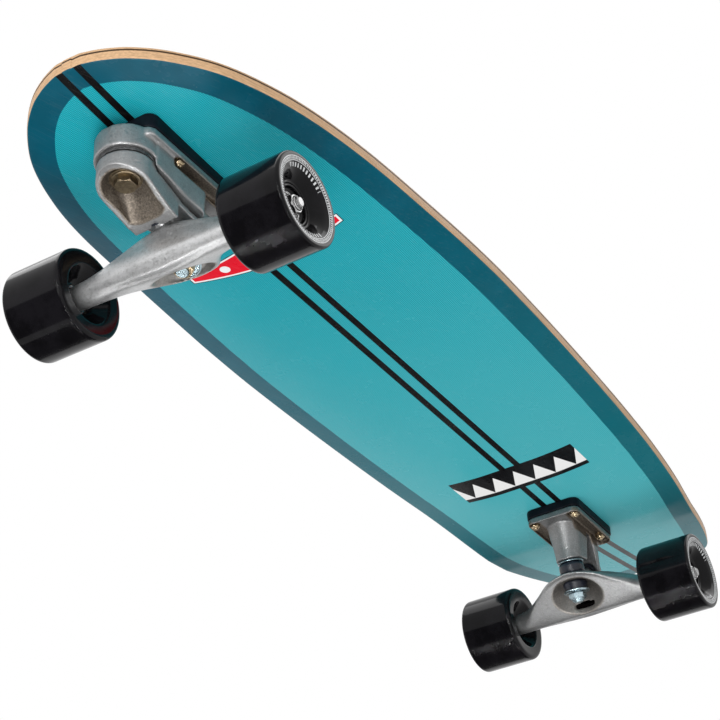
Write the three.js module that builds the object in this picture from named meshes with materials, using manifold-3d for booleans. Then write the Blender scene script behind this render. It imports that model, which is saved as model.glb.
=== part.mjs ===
// Surf skateboard: a pressed maple deck on two cast trucks. The front truck hangs from a sprung arm
// that swings about an upright bolt, the rear truck is a plain one, and four urethane wheels carry it.
// Millimetres. X runs from the tail to the nose, Y to the side, Z up, and the floor is at Z = 0.

import * as THREE from 'three';
import * as BufferGeometryUtils from 'three/addons/utils/BufferGeometryUtils.js';
import Module from 'manifold-3d';

const wasm = await Module();
wasm.setup();

// Whole board
const boardLength = 927;
const boardWidth = 250;
const frontAxleShare = 0.75588;
const rearAxleShare = 0.65297;
const runningGap = 0.3;
const cutOverrun = 2;
const weldDistance = 0.001;

// Deck: where it bends is given in shares of half its length
const deckThickness = 11;
const noseRise = 8.4;
const noseBendShare = 0.647;
const tailRise = 22;
const tailBendShare = 0.68;
const noseConcaveDepth = 13.3;
const tailConcaveDepth = 11.2;
const noseConcaveStartShare = 0.496;
const tailConcaveStartShare = 0.43;
const tailConcaveEndShare = 0.744;
const concaveBlendShare = 0.22;
const edgeRounding = 1.3;
const edgeShoulder = 2.6;
const gripThickness = 1;
const gripInset = 1.5;
const riseExponentNoseShare = 1.9;
const riseExponentTailShare = 1.15;
const concaveFlatShare = 0.2;
const concaveExponentShare = 1.7;
const concaveEndExponentShare = 1.6;
const deckStationCount = 30;
// Plan outline from the tail's end to the nose tip: shares of half the length and of half the width.
const outlineShares = [
  [-1, 0.36], [-0.997, 0.45], [-0.984, 0.53], [-0.949, 0.632], [-0.854, 0.735], [-0.725, 0.827],
  [-0.595, 0.889], [-0.337, 0.954], [-0.078, 0.989], [0.13, 1], [0.25, 0.992], [0.375, 0.968],
  [0.57, 0.916], [0.699, 0.857], [0.79, 0.775], [0.867, 0.66], [0.928, 0.499], [0.965, 0.35],
  [0.985, 0.222], [0.996, 0.11], [1, 0.036],
];
const acrossShares = [-1, -0.82, -0.6, -0.2, 0, 0.2, 0.6, 0.82, 1];

// Wheels, bearings and axles
const wheelDiameter = 70;
const wheelWidth = 51.5;
const wheelLip = 2.2;
const wheelFaceRing = 22.5;
const wheelFaceDish = 1.2;
const wheelTrack = 182.6;
const bearingOuter = 11;
const bearingWidth = 7;
const bearingShieldStep = 0.5;
const bearingSpacing = 10;
const spacerRadius = 5.4;
const axleRadius = 4;
const axleEndLength = 8.6;
const axleNutFlats = 12.7;
const axleNutHeight = 6.4;
const wheelSegments = 28;
const roundSegments = 28;
const smallSegments = 14;
const boltSegments = 8;

// Hanger, in its own frame: U points to the board's near end, Z up, the axle at the origin
const hangerEndRadius = 9.2;
const hangerEndLength = 12.7;
const hangerArmRadius = 9.6;
const hangerBottom = 10;
const hangerRidgeOut = 6;
const hangerRidgeDown = 9.6;
const hangerFaceOut = 11.3;
const hangerFaceRounding = 1.2;
const ringWall = 6;
const ringReach = 19;
const ringLip = 5;
const windowTilt = 32;
const windowCentreIn = 20.8;
const windowCentreDown = 0.7;
const windowHalfAcross = 24.5;
const windowHalfDown = 19.6;
const windowRim = 3.2;
const bowlSeatRadius = 14.5;
const slotLength = 22;
const slotHeight = 3;
const kingpinHoleRadius = 6.8;
const pivotBallRadius = 4.5;
const pivotNeckRadius = 4;
const neckRootRadius = 6;
const neckRoot = 18;
const pivotCupWall = 1.8;
const pivotCupLip = 1.4;
// How far each hanger station lies from the centre to the shoulder, and how far the ring side and the
// web side have shrunk from the middle section to the round arm there.
const stationShares = [0, 0.13, 0.25, 0.35, 0.45, 0.54, 0.64, 0.76, 0.88, 1];
const frontRingShrinkShares = [0, 0.05, 0.16, 0.36, 0.6, 0.77, 0.88, 0.95, 0.99, 1];
const rearRingShrinkShares = [0, 0.03, 0.09, 0.17, 0.29, 0.42, 0.56, 0.73, 0.9, 1];
const webShrinkShares = [0, 0.08, 0.17, 0.27, 0.37, 0.47, 0.58, 0.73, 0.87, 1];

// Kingpin set
const kingpinRadius = 4.75;
const kingpinNutFlats = 14.3;
const kingpinNutHeight = 7;
const kingpinTip = 1.6;
const kingpinHeadRadius = 7.2;
const kingpinHeadHeight = 3.4;
const cupWasherRadius = 12.4;
const cupWasherThickness = 1.4;
const cupWasherRim = 1.6;
const bushingRadius = 11.8;
const lowerBushingHeight = 9;
const frontUpperBushingHeight = 7;
const rearUpperBushingHeight = 12;
const bossRadius = 12.6;

// Heights: the flange's top lies this far above the axle, and the drops below are measured from it
const truckHeight = 72;
const riserHeight = 9;

// Front truck: the arm swings about an upright bolt ahead of the axle
const swingAxisAhead = 45.65;
const frontSeatIn = 25;
const frontSeatDrop = 50;
const frontKingpinTilt = 17;
const frontPivotOut = 12.5;
const frontPivotDrop = 41;
const frontWebTopDrop = 42.8;
const armHeadRadius = 19;
const armTailRadius = 15.5;
const armTopDrop = 33;
const armTopStart = 45;
const armSlopeStart = 18;
const armSlopeDrop = 27.6;
const armHeadTopRadius = 9;
const armHeadDrop = 21.4;
const armWebDrop = 37.4;
const armTowerDrop = 20.5;
const armTowerGap = 4.1;
const armTailPastSeat = 18.4;
const armNoseDrop = 35.5;
const armLipDrop = 49.5;
const armLipBack = 36;
const armLipFront = 26;
const armWindowWall = 2.6;
const armWindowLength = 43;
const armRecessDrop = 30;
const armRecessRadius = 12.2;
const swingBoltRadius = 5.5;
const swingBoltFlats = 17;
const swingBoltHeadHeight = 7.5;
const swingBoltTopDrop = 4;
const camRadius = 13;
const camFlat = 12.7;
const camDrop = 9;
const drumRadius = 22.5;
const drumBottomDrop = 18;
const drumHollowRadius = 15;
const drumRoofDrop = 7.5;
const bearingRingRadius = 20.4;
const blockHalfWidth = 21;
const blockBulge = 2;
const blockBottomDrop = 30.2;
const blockToSeat = 5.65;
const blockCorner = 7;
const springBoreRadius = 5.6;
const springBoreDrop = 11.6;
const plungerRadius = 5.2;
const plungerLength = 15;
const springRadius = 3.9;
const springWire = 0.8;
const springTurns = 6;
const springStepsPerTurn = 8;
const springWireSides = 5;
const springPlugLength = 6;

// Rear truck
const rearSeatIn = 24.4;
const rearSeatDrop = 55;
const rearKingpinTilt = 14;
const rearPivotOut = 11.5;
const rearPivotDrop = 33;
const rearWebTopDrop = 38;
const columnTopHalfWidth = 17;
const columnTopIn = 51;
const columnTopOut = 14;
const columnSpread = 1.8;
const pivotBossRadius = 11.6;
const pivotBossLength = 10.5;
const kingpinWellDepth = 24;

// Baseplates, risers and deck bolts
const flangeThickness = 6;
const flangeHalfWidth = 26.5;
const flangeCorner = 7;
const pocketDepth = 3.5;
const pocketInner = 14.5;
const pocketRim = 1.5;
const pocketEndRim = 1.8;
const riserSideMargin = 0.6;
const riserInMargin = 0.5;
const riserOutMargin = 2.4;
const boltSpacingLong = 54;
const boltSpacingAcross = 41.3;
const frontBoltsBehindSwing = 30.8;
const rearBoltsCentreIn = 25.85;
const frontFlangeNose = 8;
const frontFlangeIn = 56.4;
const rearFlangeIn = 60.5;
const rearFlangeOut = 17.3;
const boltRadius = 2.4;
const boltHeadRadius = 4.6;
const boltHeadDepth = 3;
const boltTip = 1.2;
const boltNutFlats = 8;
const boltNutHeight = 5;

// Worked out from the sizes above
const halfLength = boardLength / 2;
const axleHeight = wheelDiameter / 2;
const frontAxleX = frontAxleShare * halfLength;
const rearAxleX = -rearAxleShare * halfLength;
const flangeTopHeight = axleHeight + truckHeight;
const deckBottomHeight = flangeTopHeight + riserHeight;
const coreHalf = bearingSpacing / 2 + bearingWidth;
const hangerHalfLength = wheelTrack / 2 - coreHalf - 2 * runningGap;
const hangerArmShoulder = hangerHalfLength - hangerEndLength;
const axleHalfLength = wheelTrack / 2 + coreHalf + axleEndLength;
const blockEnd = swingAxisAhead + frontSeatIn - blockToSeat;
const armTowerReach = blockEnd + armTowerGap;
const armTailEnd = frontSeatIn + armTailPastSeat;

// A truck's own frame has the axle at its origin, and its heights are drops below the flange's top
const below = (drop) => truckHeight - drop;

// Finishes
const finish = (color, roughness, metalness) => (
  new THREE.MeshStandardMaterial({ color, roughness, metalness }));
const castMetal = () => finish(0xa9a9a6, 0.45, 0.9);
const zincSteel = () => finish(0xc8ccd0, 0.3, 1);
const blackUrethane = () => finish(0x0a0a0c, 0.15, 0);
const bushingUrethane = () => finish(0x1c2430, 0.4, 0);
const blackPlastic = () => finish(0x101012, 0.5, 0);
const tealLacquer = () => finish(0x1f8795, 0.25, 0);
const gripGrit = () => finish(0x1a1a1a, 0.95, 0);

// A closed triangle mesh as a solid that can be joined and cut. Collapsed triangles are dropped, and a
// mesh that is inside out is turned round.
function solidOf(geometry) {
  const bare = new THREE.BufferGeometry();
  bare.setAttribute('position', geometry.getAttribute('position').clone());
  if (geometry.index) bare.setIndex(geometry.index.clone());
  const merged = BufferGeometryUtils.mergeVertices(bare, weldDistance);
  const corners = merged.index.array;
  const kept = [];
  for (let i = 0; i < corners.length; i += 3) {
    const [a, b, c] = [corners[i], corners[i + 1], corners[i + 2]];
    if (a !== b && b !== c && c !== a) kept.push(a, b, c);
  }
  const places = Float32Array.from(merged.getAttribute('position').array);
  if (signedVolume(places, kept) < 0) kept.reverse();
  const mesh = new wasm.Mesh({ numProp: 3, vertProperties: places, triVerts: Uint32Array.from(kept) });
  return new wasm.Manifold(mesh);
}

function signedVolume(places, corners) {
  const [a, b, c] = [new THREE.Vector3(), new THREE.Vector3(), new THREE.Vector3()];
  let total = 0;
  for (let i = 0; i < corners.length; i += 3) {
    a.fromArray(places, 3 * corners[i]);
    b.fromArray(places, 3 * corners[i + 1]);
    c.fromArray(places, 3 * corners[i + 2]);
    total += a.dot(b.cross(c));
  }
  return total;
}

function namedMesh(name, solid, material) {
  const cut = solid.getMesh();
  const geometry = new THREE.BufferGeometry();
  geometry.setAttribute('position', new THREE.BufferAttribute(Float32Array.from(cut.vertProperties), 3));
  geometry.setIndex(new THREE.BufferAttribute(Uint32Array.from(cut.triVerts), 1));
  geometry.computeVertexNormals();
  const mesh = new THREE.Mesh(geometry, material);
  mesh.name = name;
  return mesh;
}

// Placing: a matrix that takes +Z to a direction and the origin to a point
function along(start, direction) {
  const turn = new THREE.Quaternion().setFromUnitVectors(
    new THREE.Vector3(0, 0, 1), direction.clone().normalize());
  return new THREE.Matrix4().compose(start, turn, new THREE.Vector3(1, 1, 1));
}

const point = (x, y, z) => new THREE.Vector3(x, y, z);
const up = point(0, 0, 1);
const across = point(0, 1, 0);

// A round bar or cone from a point along a direction
function rod(start, direction, length, radius, endRadius = radius, segments = smallSegments) {
  const geometry = new THREE.CylinderGeometry(endRadius, radius, length, segments);
  geometry.rotateX(Math.PI / 2);
  geometry.translate(0, 0, length / 2);
  return solidOf(geometry.applyMatrix4(along(start, direction)));
}

// A hexagonal bar, given across its flats
function hexBar(start, direction, length, flats) {
  return rod(start, direction, length, flats / Math.sqrt(3), flats / Math.sqrt(3), 6);
}

// A turned piece: profile of [radius, height] pairs, spun round the axis
function turned(profile, start, direction, segments = smallSegments) {
  const outline = profile.map(([radius, height]) => new THREE.Vector2(radius, height));
  const geometry = new THREE.LatheGeometry(outline, segments);
  geometry.rotateX(Math.PI / 2);
  return solidOf(geometry.applyMatrix4(along(start, direction)));
}

// A ring: the closed profile of a washer, bearing or bushing
function turnedRing(profile, start, direction, segments = smallSegments) {
  return turned([...profile, profile[0]], start, direction, segments);
}

// A plate: a flat outline in X and Y, raised from one height to another
function plate(outline, bottom, top) {
  const shape = new THREE.Shape(outline.map(([x, y]) => new THREE.Vector2(x, y)));
  const geometry = new THREE.ExtrudeGeometry(shape, { depth: top - bottom, bevelEnabled: false });
  geometry.translate(0, 0, bottom);
  return solidOf(geometry);
}

// A side view in X and Z, carried across from one side to the other
function sideProfile(outline, halfWidth) {
  const shape = new THREE.Shape(outline.map(([x, z]) => new THREE.Vector2(x, z)));
  const geometry = new THREE.ExtrudeGeometry(shape, { depth: 2 * halfWidth, bevelEnabled: false });
  geometry.rotateX(Math.PI / 2);
  geometry.translate(0, halfWidth, 0);
  return solidOf(geometry);
}

// A loft: closed rings of equally many points, skinned one to the next and closed at both ends
function loft(rings) {
  const count = rings[0].length;
  const places = rings.flat().flatMap((corner) => [corner.x, corner.y, corner.z]);
  const corners = [];
  for (let ring = 0; ring + 1 < rings.length; ring += 1) {
    for (let i = 0; i < count; i += 1) {
      const [a, b] = [ring * count + i, ring * count + (i + 1) % count];
      corners.push(a, b, b + count, a, b + count, a + count);
    }
  }
  for (const [ring, turn] of [[0, true], [rings.length - 1, false]]) {
    const centre = new THREE.Vector3();
    rings[ring].forEach((corner) => centre.addScaledVector(corner, 1 / count));
    const middle = places.length / 3;
    places.push(centre.x, centre.y, centre.z);
    for (let i = 0; i < count; i += 1) {
      const [a, b] = [ring * count + i, ring * count + (i + 1) % count];
      corners.push(...(turn ? [b, a, middle] : [a, b, middle]));
    }
  }
  const geometry = new THREE.BufferGeometry();
  geometry.setAttribute('position', new THREE.Float32BufferAttribute(places, 3));
  geometry.setIndex(corners);
  return solidOf(geometry);
}

// A rectangle with round corners, as outline points
function roundedRectangle(low, high, halfWidth, corner) {
  const shape = new THREE.Shape();
  shape.moveTo(low + corner, -halfWidth);
  shape.absarc(high - corner, -halfWidth + corner, corner, -Math.PI / 2, 0);
  shape.absarc(high - corner, halfWidth - corner, corner, 0, Math.PI / 2);
  shape.absarc(low + corner, halfWidth - corner, corner, Math.PI / 2, Math.PI);
  shape.absarc(low + corner, -halfWidth + corner, corner, Math.PI, 1.5 * Math.PI);
  return shape.getPoints(5).map(({ x, y }) => [x, y]);
}

// The outline round two circles on the X axis, a fixed number of points
function roundTwoCircles(low, lowRadius, high, highRadius, segments = roundSegments) {
  const outline = [];
  for (let i = 0; i < segments; i += 1) {
    const angle = (i + 0.5) * 2 * Math.PI / segments;
    const [centre, radius] = Math.cos(angle) > 0 ? [high, highRadius] : [low, lowRadius];
    outline.push([centre + radius * Math.cos(angle), radius * Math.sin(angle)]);
  }
  return outline;
}

const radians = THREE.MathUtils.degToRad;
const lerp = THREE.MathUtils.lerp;

// Deck

// How far along a bend a place lies, from 0 where the bend starts to 1 where it ends
const progress = (place, start, end) => THREE.MathUtils.clamp((place - start) / (end - start), 0, 1);

// How high the deck's underside lies on its centre line
function centreRise(x) {
  const nose = progress(x / halfLength, noseBendShare, 1);
  const tail = progress(-x / halfLength, tailBendShare, 1);
  return noseRise * nose ** riseExponentNoseShare + tailRise * tail ** riseExponentTailShare;
}

// How far the deck's edges stand above its centre line: less towards the tail, and nothing at either end
function edgeRise(x) {
  const place = x / halfLength;
  const nose = progress(place, noseConcaveStartShare, 1);
  const tail = progress(-place, tailConcaveStartShare, tailConcaveEndShare);
  const forward = progress(place, -tailConcaveStartShare, concaveBlendShare);
  const depth = lerp(tailConcaveDepth, noseConcaveDepth, forward);
  return depth * (1 - nose ** concaveEndExponentShare) * (1 - tail ** concaveEndExponentShare);
}

// The underside's height at a share of the half width
function undersideHeight(x, share) {
  const risen = Math.max(0, (Math.abs(share) - concaveFlatShare) / (1 - concaveFlatShare));
  return deckBottomHeight + centreRise(x) + edgeRise(x) * risen ** concaveExponentShare;
}

function deckStations() {
  const controls = outlineShares.map(([along, side]) => (
    new THREE.Vector2(along * halfLength, side * boardWidth / 2)));
  const curve = new THREE.SplineCurve(controls);
  return Array.from({ length: deckStationCount + 1 }, (_, i) => (
    curve.getPointAt(0.5 - 0.5 * Math.cos(Math.PI * i / deckStationCount))));
}

// One slice across the board: a closed ring, round at both edges
function boardSlice(station) {
  const ring = [];
  const corner = (share, out, height) => {
    ring.push(point(
      station.x, share * (station.y - out), undersideHeight(station.x, share) + height));
  };
  acrossShares.forEach((share) => corner(share, edgeRounding, 0));
  corner(1, 0, edgeShoulder);
  corner(1, 0, deckThickness - edgeShoulder);
  [...acrossShares].reverse().forEach((share) => corner(share, edgeRounding, deckThickness));
  corner(-1, 0, deckThickness - edgeShoulder);
  corner(-1, 0, edgeShoulder);
  return ring;
}

const deckSolid = () => loft(deckStations().map(boardSlice));

// The abrasive sheet on the deck's top, a little inside its edge: the same surface, raised
function gripSheet(deck) {
  const inset = edgeRounding + gripInset;
  const stations = deckStations().filter(({ x, y }) => Math.abs(x) < halfLength - gripInset && y > inset);
  const side = stations.map(({ x, y }) => [x, y - inset]);
  const outline = [...side, ...side.map(([x, y]) => [x, -y]).reverse()];
  const room = plate(outline, deckBottomHeight, deckBottomHeight + boardWidth);
  return deck.translate([0, 0, runningGap + gripThickness]).intersect(room)
    .subtract(deck.translate([0, 0, runningGap]));
}

// Deck bolts, two rows of two for each truck
function boltPlaces(centreX) {
  const places = [];
  for (const lengthwise of [-1, 1]) {
    for (const side of [-1, 1]) {
      places.push([centreX + lengthwise * boltSpacingLong / 2, side * boltSpacingAcross / 2]);
    }
  }
  return places;
}

const frontBoltCentre = frontAxleX + swingAxisAhead - frontBoltsBehindSwing - boltSpacingLong / 2;
const rearBoltCentre = rearAxleX + rearBoltsCentreIn;
const pocketRoof = flangeTopHeight - flangeThickness + pocketDepth;

// The hole that one bolt needs through the deck, riser and flange, with its countersink
function boltHole(x, y) {
  const headTop = undersideHeight(x, 0) + deckThickness;
  const start = pocketRoof - cutOverrun;
  const shankRadius = boltRadius + runningGap;
  const sinkRadius = boltHeadRadius + runningGap;
  const shank = rod(
    point(x, y, start), up, headTop + cutOverrun - start, shankRadius, shankRadius, boltSegments);
  const sink = turned([
    [0, -boltHeadDepth - runningGap], [shankRadius, -boltHeadDepth - runningGap],
    [sinkRadius, 0], [sinkRadius, cutOverrun + gripThickness], [0, cutOverrun + gripThickness],
  ], point(x, y, headTop), up, boltSegments);
  return shank.add(sink);
}

// A countersunk bolt with its lock nut
function deckBolt(x, y) {
  const headTop = undersideHeight(x, 0) + deckThickness;
  const nutTop = pocketRoof - runningGap;
  const tip = nutTop - boltNutHeight - boltTip;
  const bolt = turned([
    [0, tip], [boltRadius, tip], [boltRadius, headTop - boltHeadDepth],
    [boltHeadRadius, headTop - boltTip / 3], [boltHeadRadius, headTop], [0, headTop],
  ], point(x, y, 0), up, boltSegments);
  const nut = hexBar(point(0, 0, nutTop - boltNutHeight), up, boltNutHeight, boltNutFlats);
  return bolt.add(nut.rotate([0, 0, 30]).translate([x, y, 0]));
}

// The pad between the deck and a baseplate: its top follows the deck's underside
function riserPad(low, high, deck, holes) {
  const outline = roundedRectangle(
    low, high, flangeHalfWidth + riserSideMargin, flangeCorner + riserSideMargin);
  const highest = deckBottomHeight + Math.max(centreRise(low), centreRise(high)) + cutOverrun;
  const pad = plate(outline, flangeTopHeight + runningGap, highest)
    .subtract(deck.translate([0, 0, -runningGap]));
  return holes.reduce((rest, hole) => rest.subtract(hole), pad);
}

// The two shallow pockets under a flange that take the nuts
function flangePockets(low, high) {
  const outer = flangeHalfWidth - pocketRim;
  const middle = (pocketInner + outer) / 2;
  const pocket = plate(
    roundedRectangle(low, high, (outer - pocketInner) / 2, (outer - pocketInner) / 3)
      .map(([x, y]) => [x, y + middle]),
    below(flangeThickness + boltNutHeight + boltTip), below(flangeThickness - pocketDepth));
  return pocket.add(pocket.mirror([0, 1, 0]));
}

// Wheels

// Radii and heights of the wheel's half section, from its inner face to its outer face
function wheelSolid(start, direction) {
  const [radius, half] = [wheelDiameter / 2, wheelWidth / 2];
  const seat = bearingOuter + runningGap;
  return turnedRing([
    [seat, -coreHalf], [wheelFaceRing, -half + wheelFaceDish], [radius - 2 * wheelLip, -half],
    [radius - 0.6 * wheelLip, -half + 0.6 * wheelLip], [radius, -half + 2 * wheelLip],
    [radius, half - 2 * wheelLip], [radius - 0.6 * wheelLip, half - 0.6 * wheelLip],
    [radius - 2 * wheelLip, half], [wheelFaceRing, half - wheelFaceDish], [seat, coreHalf],
    [seat, bearingSpacing / 2], [seat - cutOverrun, bearingSpacing / 2],
    [seat - cutOverrun, -bearingSpacing / 2], [seat, -bearingSpacing / 2],
  ], start, direction, wheelSegments);
}

function bearingSolid(start, direction) {
  const bore = axleRadius + runningGap;
  const half = (bearingWidth - runningGap) / 2;
  const middle = (bore + bearingOuter) / 2;
  return turnedRing([
    [bore, -half], [middle, -half + bearingShieldStep], [bearingOuter, -half],
    [bearingOuter, half], [middle, half - bearingShieldStep], [bore, half],
  ], start, direction);
}

// A truck's two sides as name and direction. The rear truck is turned round, so its sides change places.
const sidesOf = (end) => (end === 'front' ? [['left', 1], ['right', -1]] : [['left', -1], ['right', 1]]);

// A wheel with its two bearings and the spacer between them, on each side of a truck
function wheelSets(end) {
  const group = new THREE.Group();
  for (const [side, sign] of sidesOf(end)) {
    const facing = point(0, sign, 0);
    const centre = point(0, sign * wheelTrack / 2, 0);
    const name = `${end}_${side}`;
    group.add(namedMesh(`${name}_wheel`, wheelSolid(centre, facing), blackUrethane()));
    for (const [place, step] of [['inner', -1], ['outer', 1]]) {
      const middle = centre.clone().addScaledVector(facing, step * (bearingSpacing + bearingWidth) / 2);
      group.add(namedMesh(`${name}_${place}_bearing`, bearingSolid(middle, facing), zincSteel()));
    }
    const spacerHalf = bearingSpacing / 2 - runningGap;
    const spacer = turnedRing([
      [axleRadius + runningGap, -spacerHalf], [spacerRadius, -spacerHalf],
      [spacerRadius, spacerHalf], [axleRadius + runningGap, spacerHalf],
    ], centre, facing);
    group.add(namedMesh(`${name}_bearing_spacer`, spacer, zincSteel()));
  }
  return group;
}

// The axle bar and the nut on each of its ends
function axleParts(end) {
  const group = new THREE.Group();
  const bevel = axleRadius / 5;
  const bar = turned([
    [0, -axleHalfLength], [axleRadius - bevel, -axleHalfLength], [axleRadius, -axleHalfLength + bevel],
    [axleRadius, axleHalfLength - bevel], [axleRadius - bevel, axleHalfLength], [0, axleHalfLength],
  ], point(0, 0, 0), across);
  group.add(namedMesh(`${end}_axle`, bar, zincSteel()));
  for (const [side, sign] of sidesOf(end)) {
    const inner = wheelTrack / 2 + coreHalf + runningGap;
    const facing = point(0, sign, 0);
    const start = point(0, sign * inner, 0);
    const hexagon = hexBar(start, facing, axleNutHeight, axleNutFlats);
    const bore = rod(start.clone().addScaledVector(facing, -cutOverrun), facing,
      axleNutHeight + 2 * cutOverrun, axleRadius + runningGap);
    group.add(namedMesh(`${end}_${side}_axle_nut`, hexagon.subtract(bore), zincSteel()));
  }
  return group;
}

// Hanger

// A truck's own geometry: where the kingpin crosses the hanger's ring, which way it points away from
// the deck, and where the pivot ball sits
function truckGeometry(seat, tilt, pivot, upperBushingHeight, webTop, ringShrink) {
  const down = point(Math.sin(radians(tilt)), 0, -Math.cos(radians(tilt)));
  const outward = point(Math.cos(radians(tilt)), 0, Math.sin(radians(tilt)));
  const axis = pivot.clone().sub(seat).normalize();
  return { seat, down, outward, pivot, axis, upperBushingHeight, webTop, ringShrink };
}

const frontGeometry = truckGeometry(
  point(-frontSeatIn, 0, below(frontSeatDrop)), frontKingpinTilt,
  point(frontPivotOut, 0, below(frontPivotDrop)), frontUpperBushingHeight,
  below(frontWebTopDrop), frontRingShrinkShares);
const rearGeometry = truckGeometry(
  point(-rearSeatIn, 0, below(rearSeatDrop)), rearKingpinTilt,
  point(rearPivotOut, 0, below(rearPivotDrop)), rearUpperBushingHeight,
  below(rearWebTopDrop), rearRingShrinkShares);

const onPin = ({ seat, down }, depth) => seat.clone().addScaledVector(down, depth);

// How far up the pin, from the ring's middle, the casting's boss face and the kingpin's head lie
const bossDepth = ({ upperBushingHeight }) => (
  -(ringWall / 2 + 3 * runningGap + upperBushingHeight + cupWasherThickness));
const frontHeadDepth = kingpinHeadHeight + cutOverrun
  - (frontSeatDrop - armTowerDrop) / Math.cos(radians(frontKingpinTilt));
const rearHeadDepth = -(rearSeatDrop - kingpinWellDepth) / Math.cos(radians(rearKingpinTilt));

// The hanger's middle section seen from the side, starting at the ridge under its outer face. Each
// corner carries a weight: 0 follows the web's taper along the arm, 1 the ring's.
function hangerSection({ seat, down, outward, webTop }) {
  const top = seat.clone().addScaledVector(down, -ringWall / 2);
  const onTop = (reach) => top.clone().addScaledVector(outward, reach);
  const inner = onTop(-ringReach);
  const slope = radians(windowTilt);
  const rim = (reach) => [
    -windowCentreIn - reach * Math.cos(slope), -windowCentreDown + reach * Math.sin(slope)];
  const ringOuter = onTop(0.6 * ringReach);
  const ringInner = onTop(-0.7 * ringReach);
  const rimLow = rim(windowHalfDown + windowRim);
  const rimMiddle = rim(0.5 * windowHalfDown);
  const rimHigh = rim(-0.3 * windowHalfDown);
  return [
    [hangerRidgeOut, -hangerRidgeDown, 0],
    [hangerFaceOut - hangerFaceRounding, -0.45 * hangerRidgeDown, 0],
    [hangerFaceOut, 0, 0],
    [0.9 * hangerFaceOut, 0.3 * webTop, 0],
    [0.7 * hangerFaceOut, 0.6 * webTop, 0],
    [0.6 * hangerFaceOut, 0.84 * webTop, 0],
    [0.36 * hangerFaceOut, 0.97 * webTop, 0],
    [0, webTop, 0.2],
    [ringOuter.x, ringOuter.z, 0.6],
    [top.x, top.z, 1],
    [ringInner.x, ringInner.z, 1],
    [inner.x + ringLip / 4, inner.z, 1],
    [inner.x - ringLip / 3, inner.z - ringLip / 2, 1],
    [...rimLow, 1],
    [...rimMiddle, 0.9],
    [...rimHigh, 0.7],
    [rim(-windowHalfDown)[0], -hangerBottom, 0.3],
    [0.1 * hangerRidgeOut, -hangerBottom, 0],
  ];
}

// The hanger's outside: its middle section tapers along Y into round arms
function hangerBody(geometry) {
  const section = hangerSection(geometry);
  const start = Math.atan2(-hangerRidgeDown, hangerRidgeOut + hangerArmRadius);
  const ringAt = (station, side) => section.map(([u, z, weight], i) => {
    const shrink = lerp(webShrinkShares[station], geometry.ringShrink[station], weight);
    const angle = start + 2 * Math.PI * i / section.length;
    return point(
      lerp(u, hangerArmRadius * Math.cos(angle), shrink),
      side * stationShares[station] * hangerArmShoulder,
      lerp(z, hangerArmRadius * Math.sin(angle), shrink));
  });
  const endRing = (reach, radius, side) => section.map((corner, i) => {
    const angle = start + 2 * Math.PI * i / section.length;
    return point(radius * Math.cos(angle), side * reach, radius * Math.sin(angle));
  });
  const rings = [];
  for (const side of [-1, 1]) {
    const half = stationShares.map((share, station) => ringAt(station, side));
    half.push(endRing(hangerHalfLength, hangerEndRadius, side));
    rings.push(...(side < 0 ? half.reverse() : half.slice(1)));
  }
  return loft(rings);
}

// The bowl under the ring, from the slanted oval window up to the bushing's round seat
function hangerBowl(geometry) {
  const slope = radians(windowTilt);
  const inward = point(-Math.cos(slope), 0, Math.sin(slope));
  const facing = point(-Math.sin(slope), 0, -Math.cos(slope));
  const count = roundSegments;
  const oval = (centre, long, longRadius, wideRadius) => Array.from({ length: count }, (_, i) => {
    const angle = 2 * Math.PI * i / count;
    return centre.clone().addScaledVector(long, longRadius * Math.cos(angle))
      .addScaledVector(across, wideRadius * Math.sin(angle));
  });
  const window = point(-windowCentreIn, 0, -windowCentreDown);
  const mouth = window.clone().addScaledVector(facing, 2 * cutOverrun);
  const { outward } = geometry;
  return loft([
    oval(mouth, inward, windowHalfDown, windowHalfAcross),
    oval(window, inward, windowHalfDown, windowHalfAcross),
    oval(onPin(geometry, ringWall / 2), outward.clone().negate(), bowlSeatRadius, bowlSeatRadius),
  ]);
}

// Half of a ball's outline, from the axis out to its widest
const roundedEnd = (radius, facing) => [90, 60, 30, 0].map((angle) => [
  angle === 90 ? 0 : radius * Math.cos(radians(angle)), facing * radius * Math.sin(radians(angle))]);

function hangerSolid(geometry) {
  const { seat, pivot, axis } = geometry;
  const neckStart = seat.clone().addScaledVector(axis, neckRoot);
  const neck = rod(neckStart, axis, neckStart.distanceTo(pivot), neckRootRadius, pivotNeckRadius);
  const ballOutline = [
    ...roundedEnd(pivotBallRadius, -1), ...roundedEnd(pivotBallRadius, 1).reverse().slice(1)];
  const ball = turned(ballOutline, pivot, axis);
  const pinHole = rod(onPin(geometry, -2 * ringWall), geometry.down, 3 * ringWall, kingpinHoleRadius);
  const axleBore = rod(point(0, -boardWidth, 0), across, 2 * boardWidth, axleRadius + runningGap);
  const slotMiddle = -windowCentreIn + windowHalfDown * Math.cos(radians(windowTilt));
  const slot = sideProfile([
    [slotMiddle - slotHeight, -slotHeight], [slotMiddle + slotHeight, -slotHeight],
    [slotMiddle + slotHeight, 0], [slotMiddle - slotHeight, 0],
  ], slotLength / 2);
  return hangerBody(geometry).subtract(hangerBowl(geometry)).subtract(pinHole)
    .add(neck).add(ball).subtract(axleBore).subtract(slot);
}

// The urethane cup that the pivot ball turns in, closed behind the ball
function pivotCup({ pivot, axis }) {
  const inner = pivotBallRadius + runningGap;
  const outer = inner + pivotCupWall;
  const mouth = -0.5 * pivotBallRadius;
  return turned([
    ...roundedEnd(inner, 1), [inner, mouth],
    [outer + pivotCupLip, mouth], [outer + pivotCupLip, mouth + pivotCupLip],
    [outer, mouth + pivotCupLip], [outer, 0.6 * outer], [0.6 * outer, inner + pivotCupWall], [0, inner + pivotCupWall],
  ], pivot, axis);
}

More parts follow.
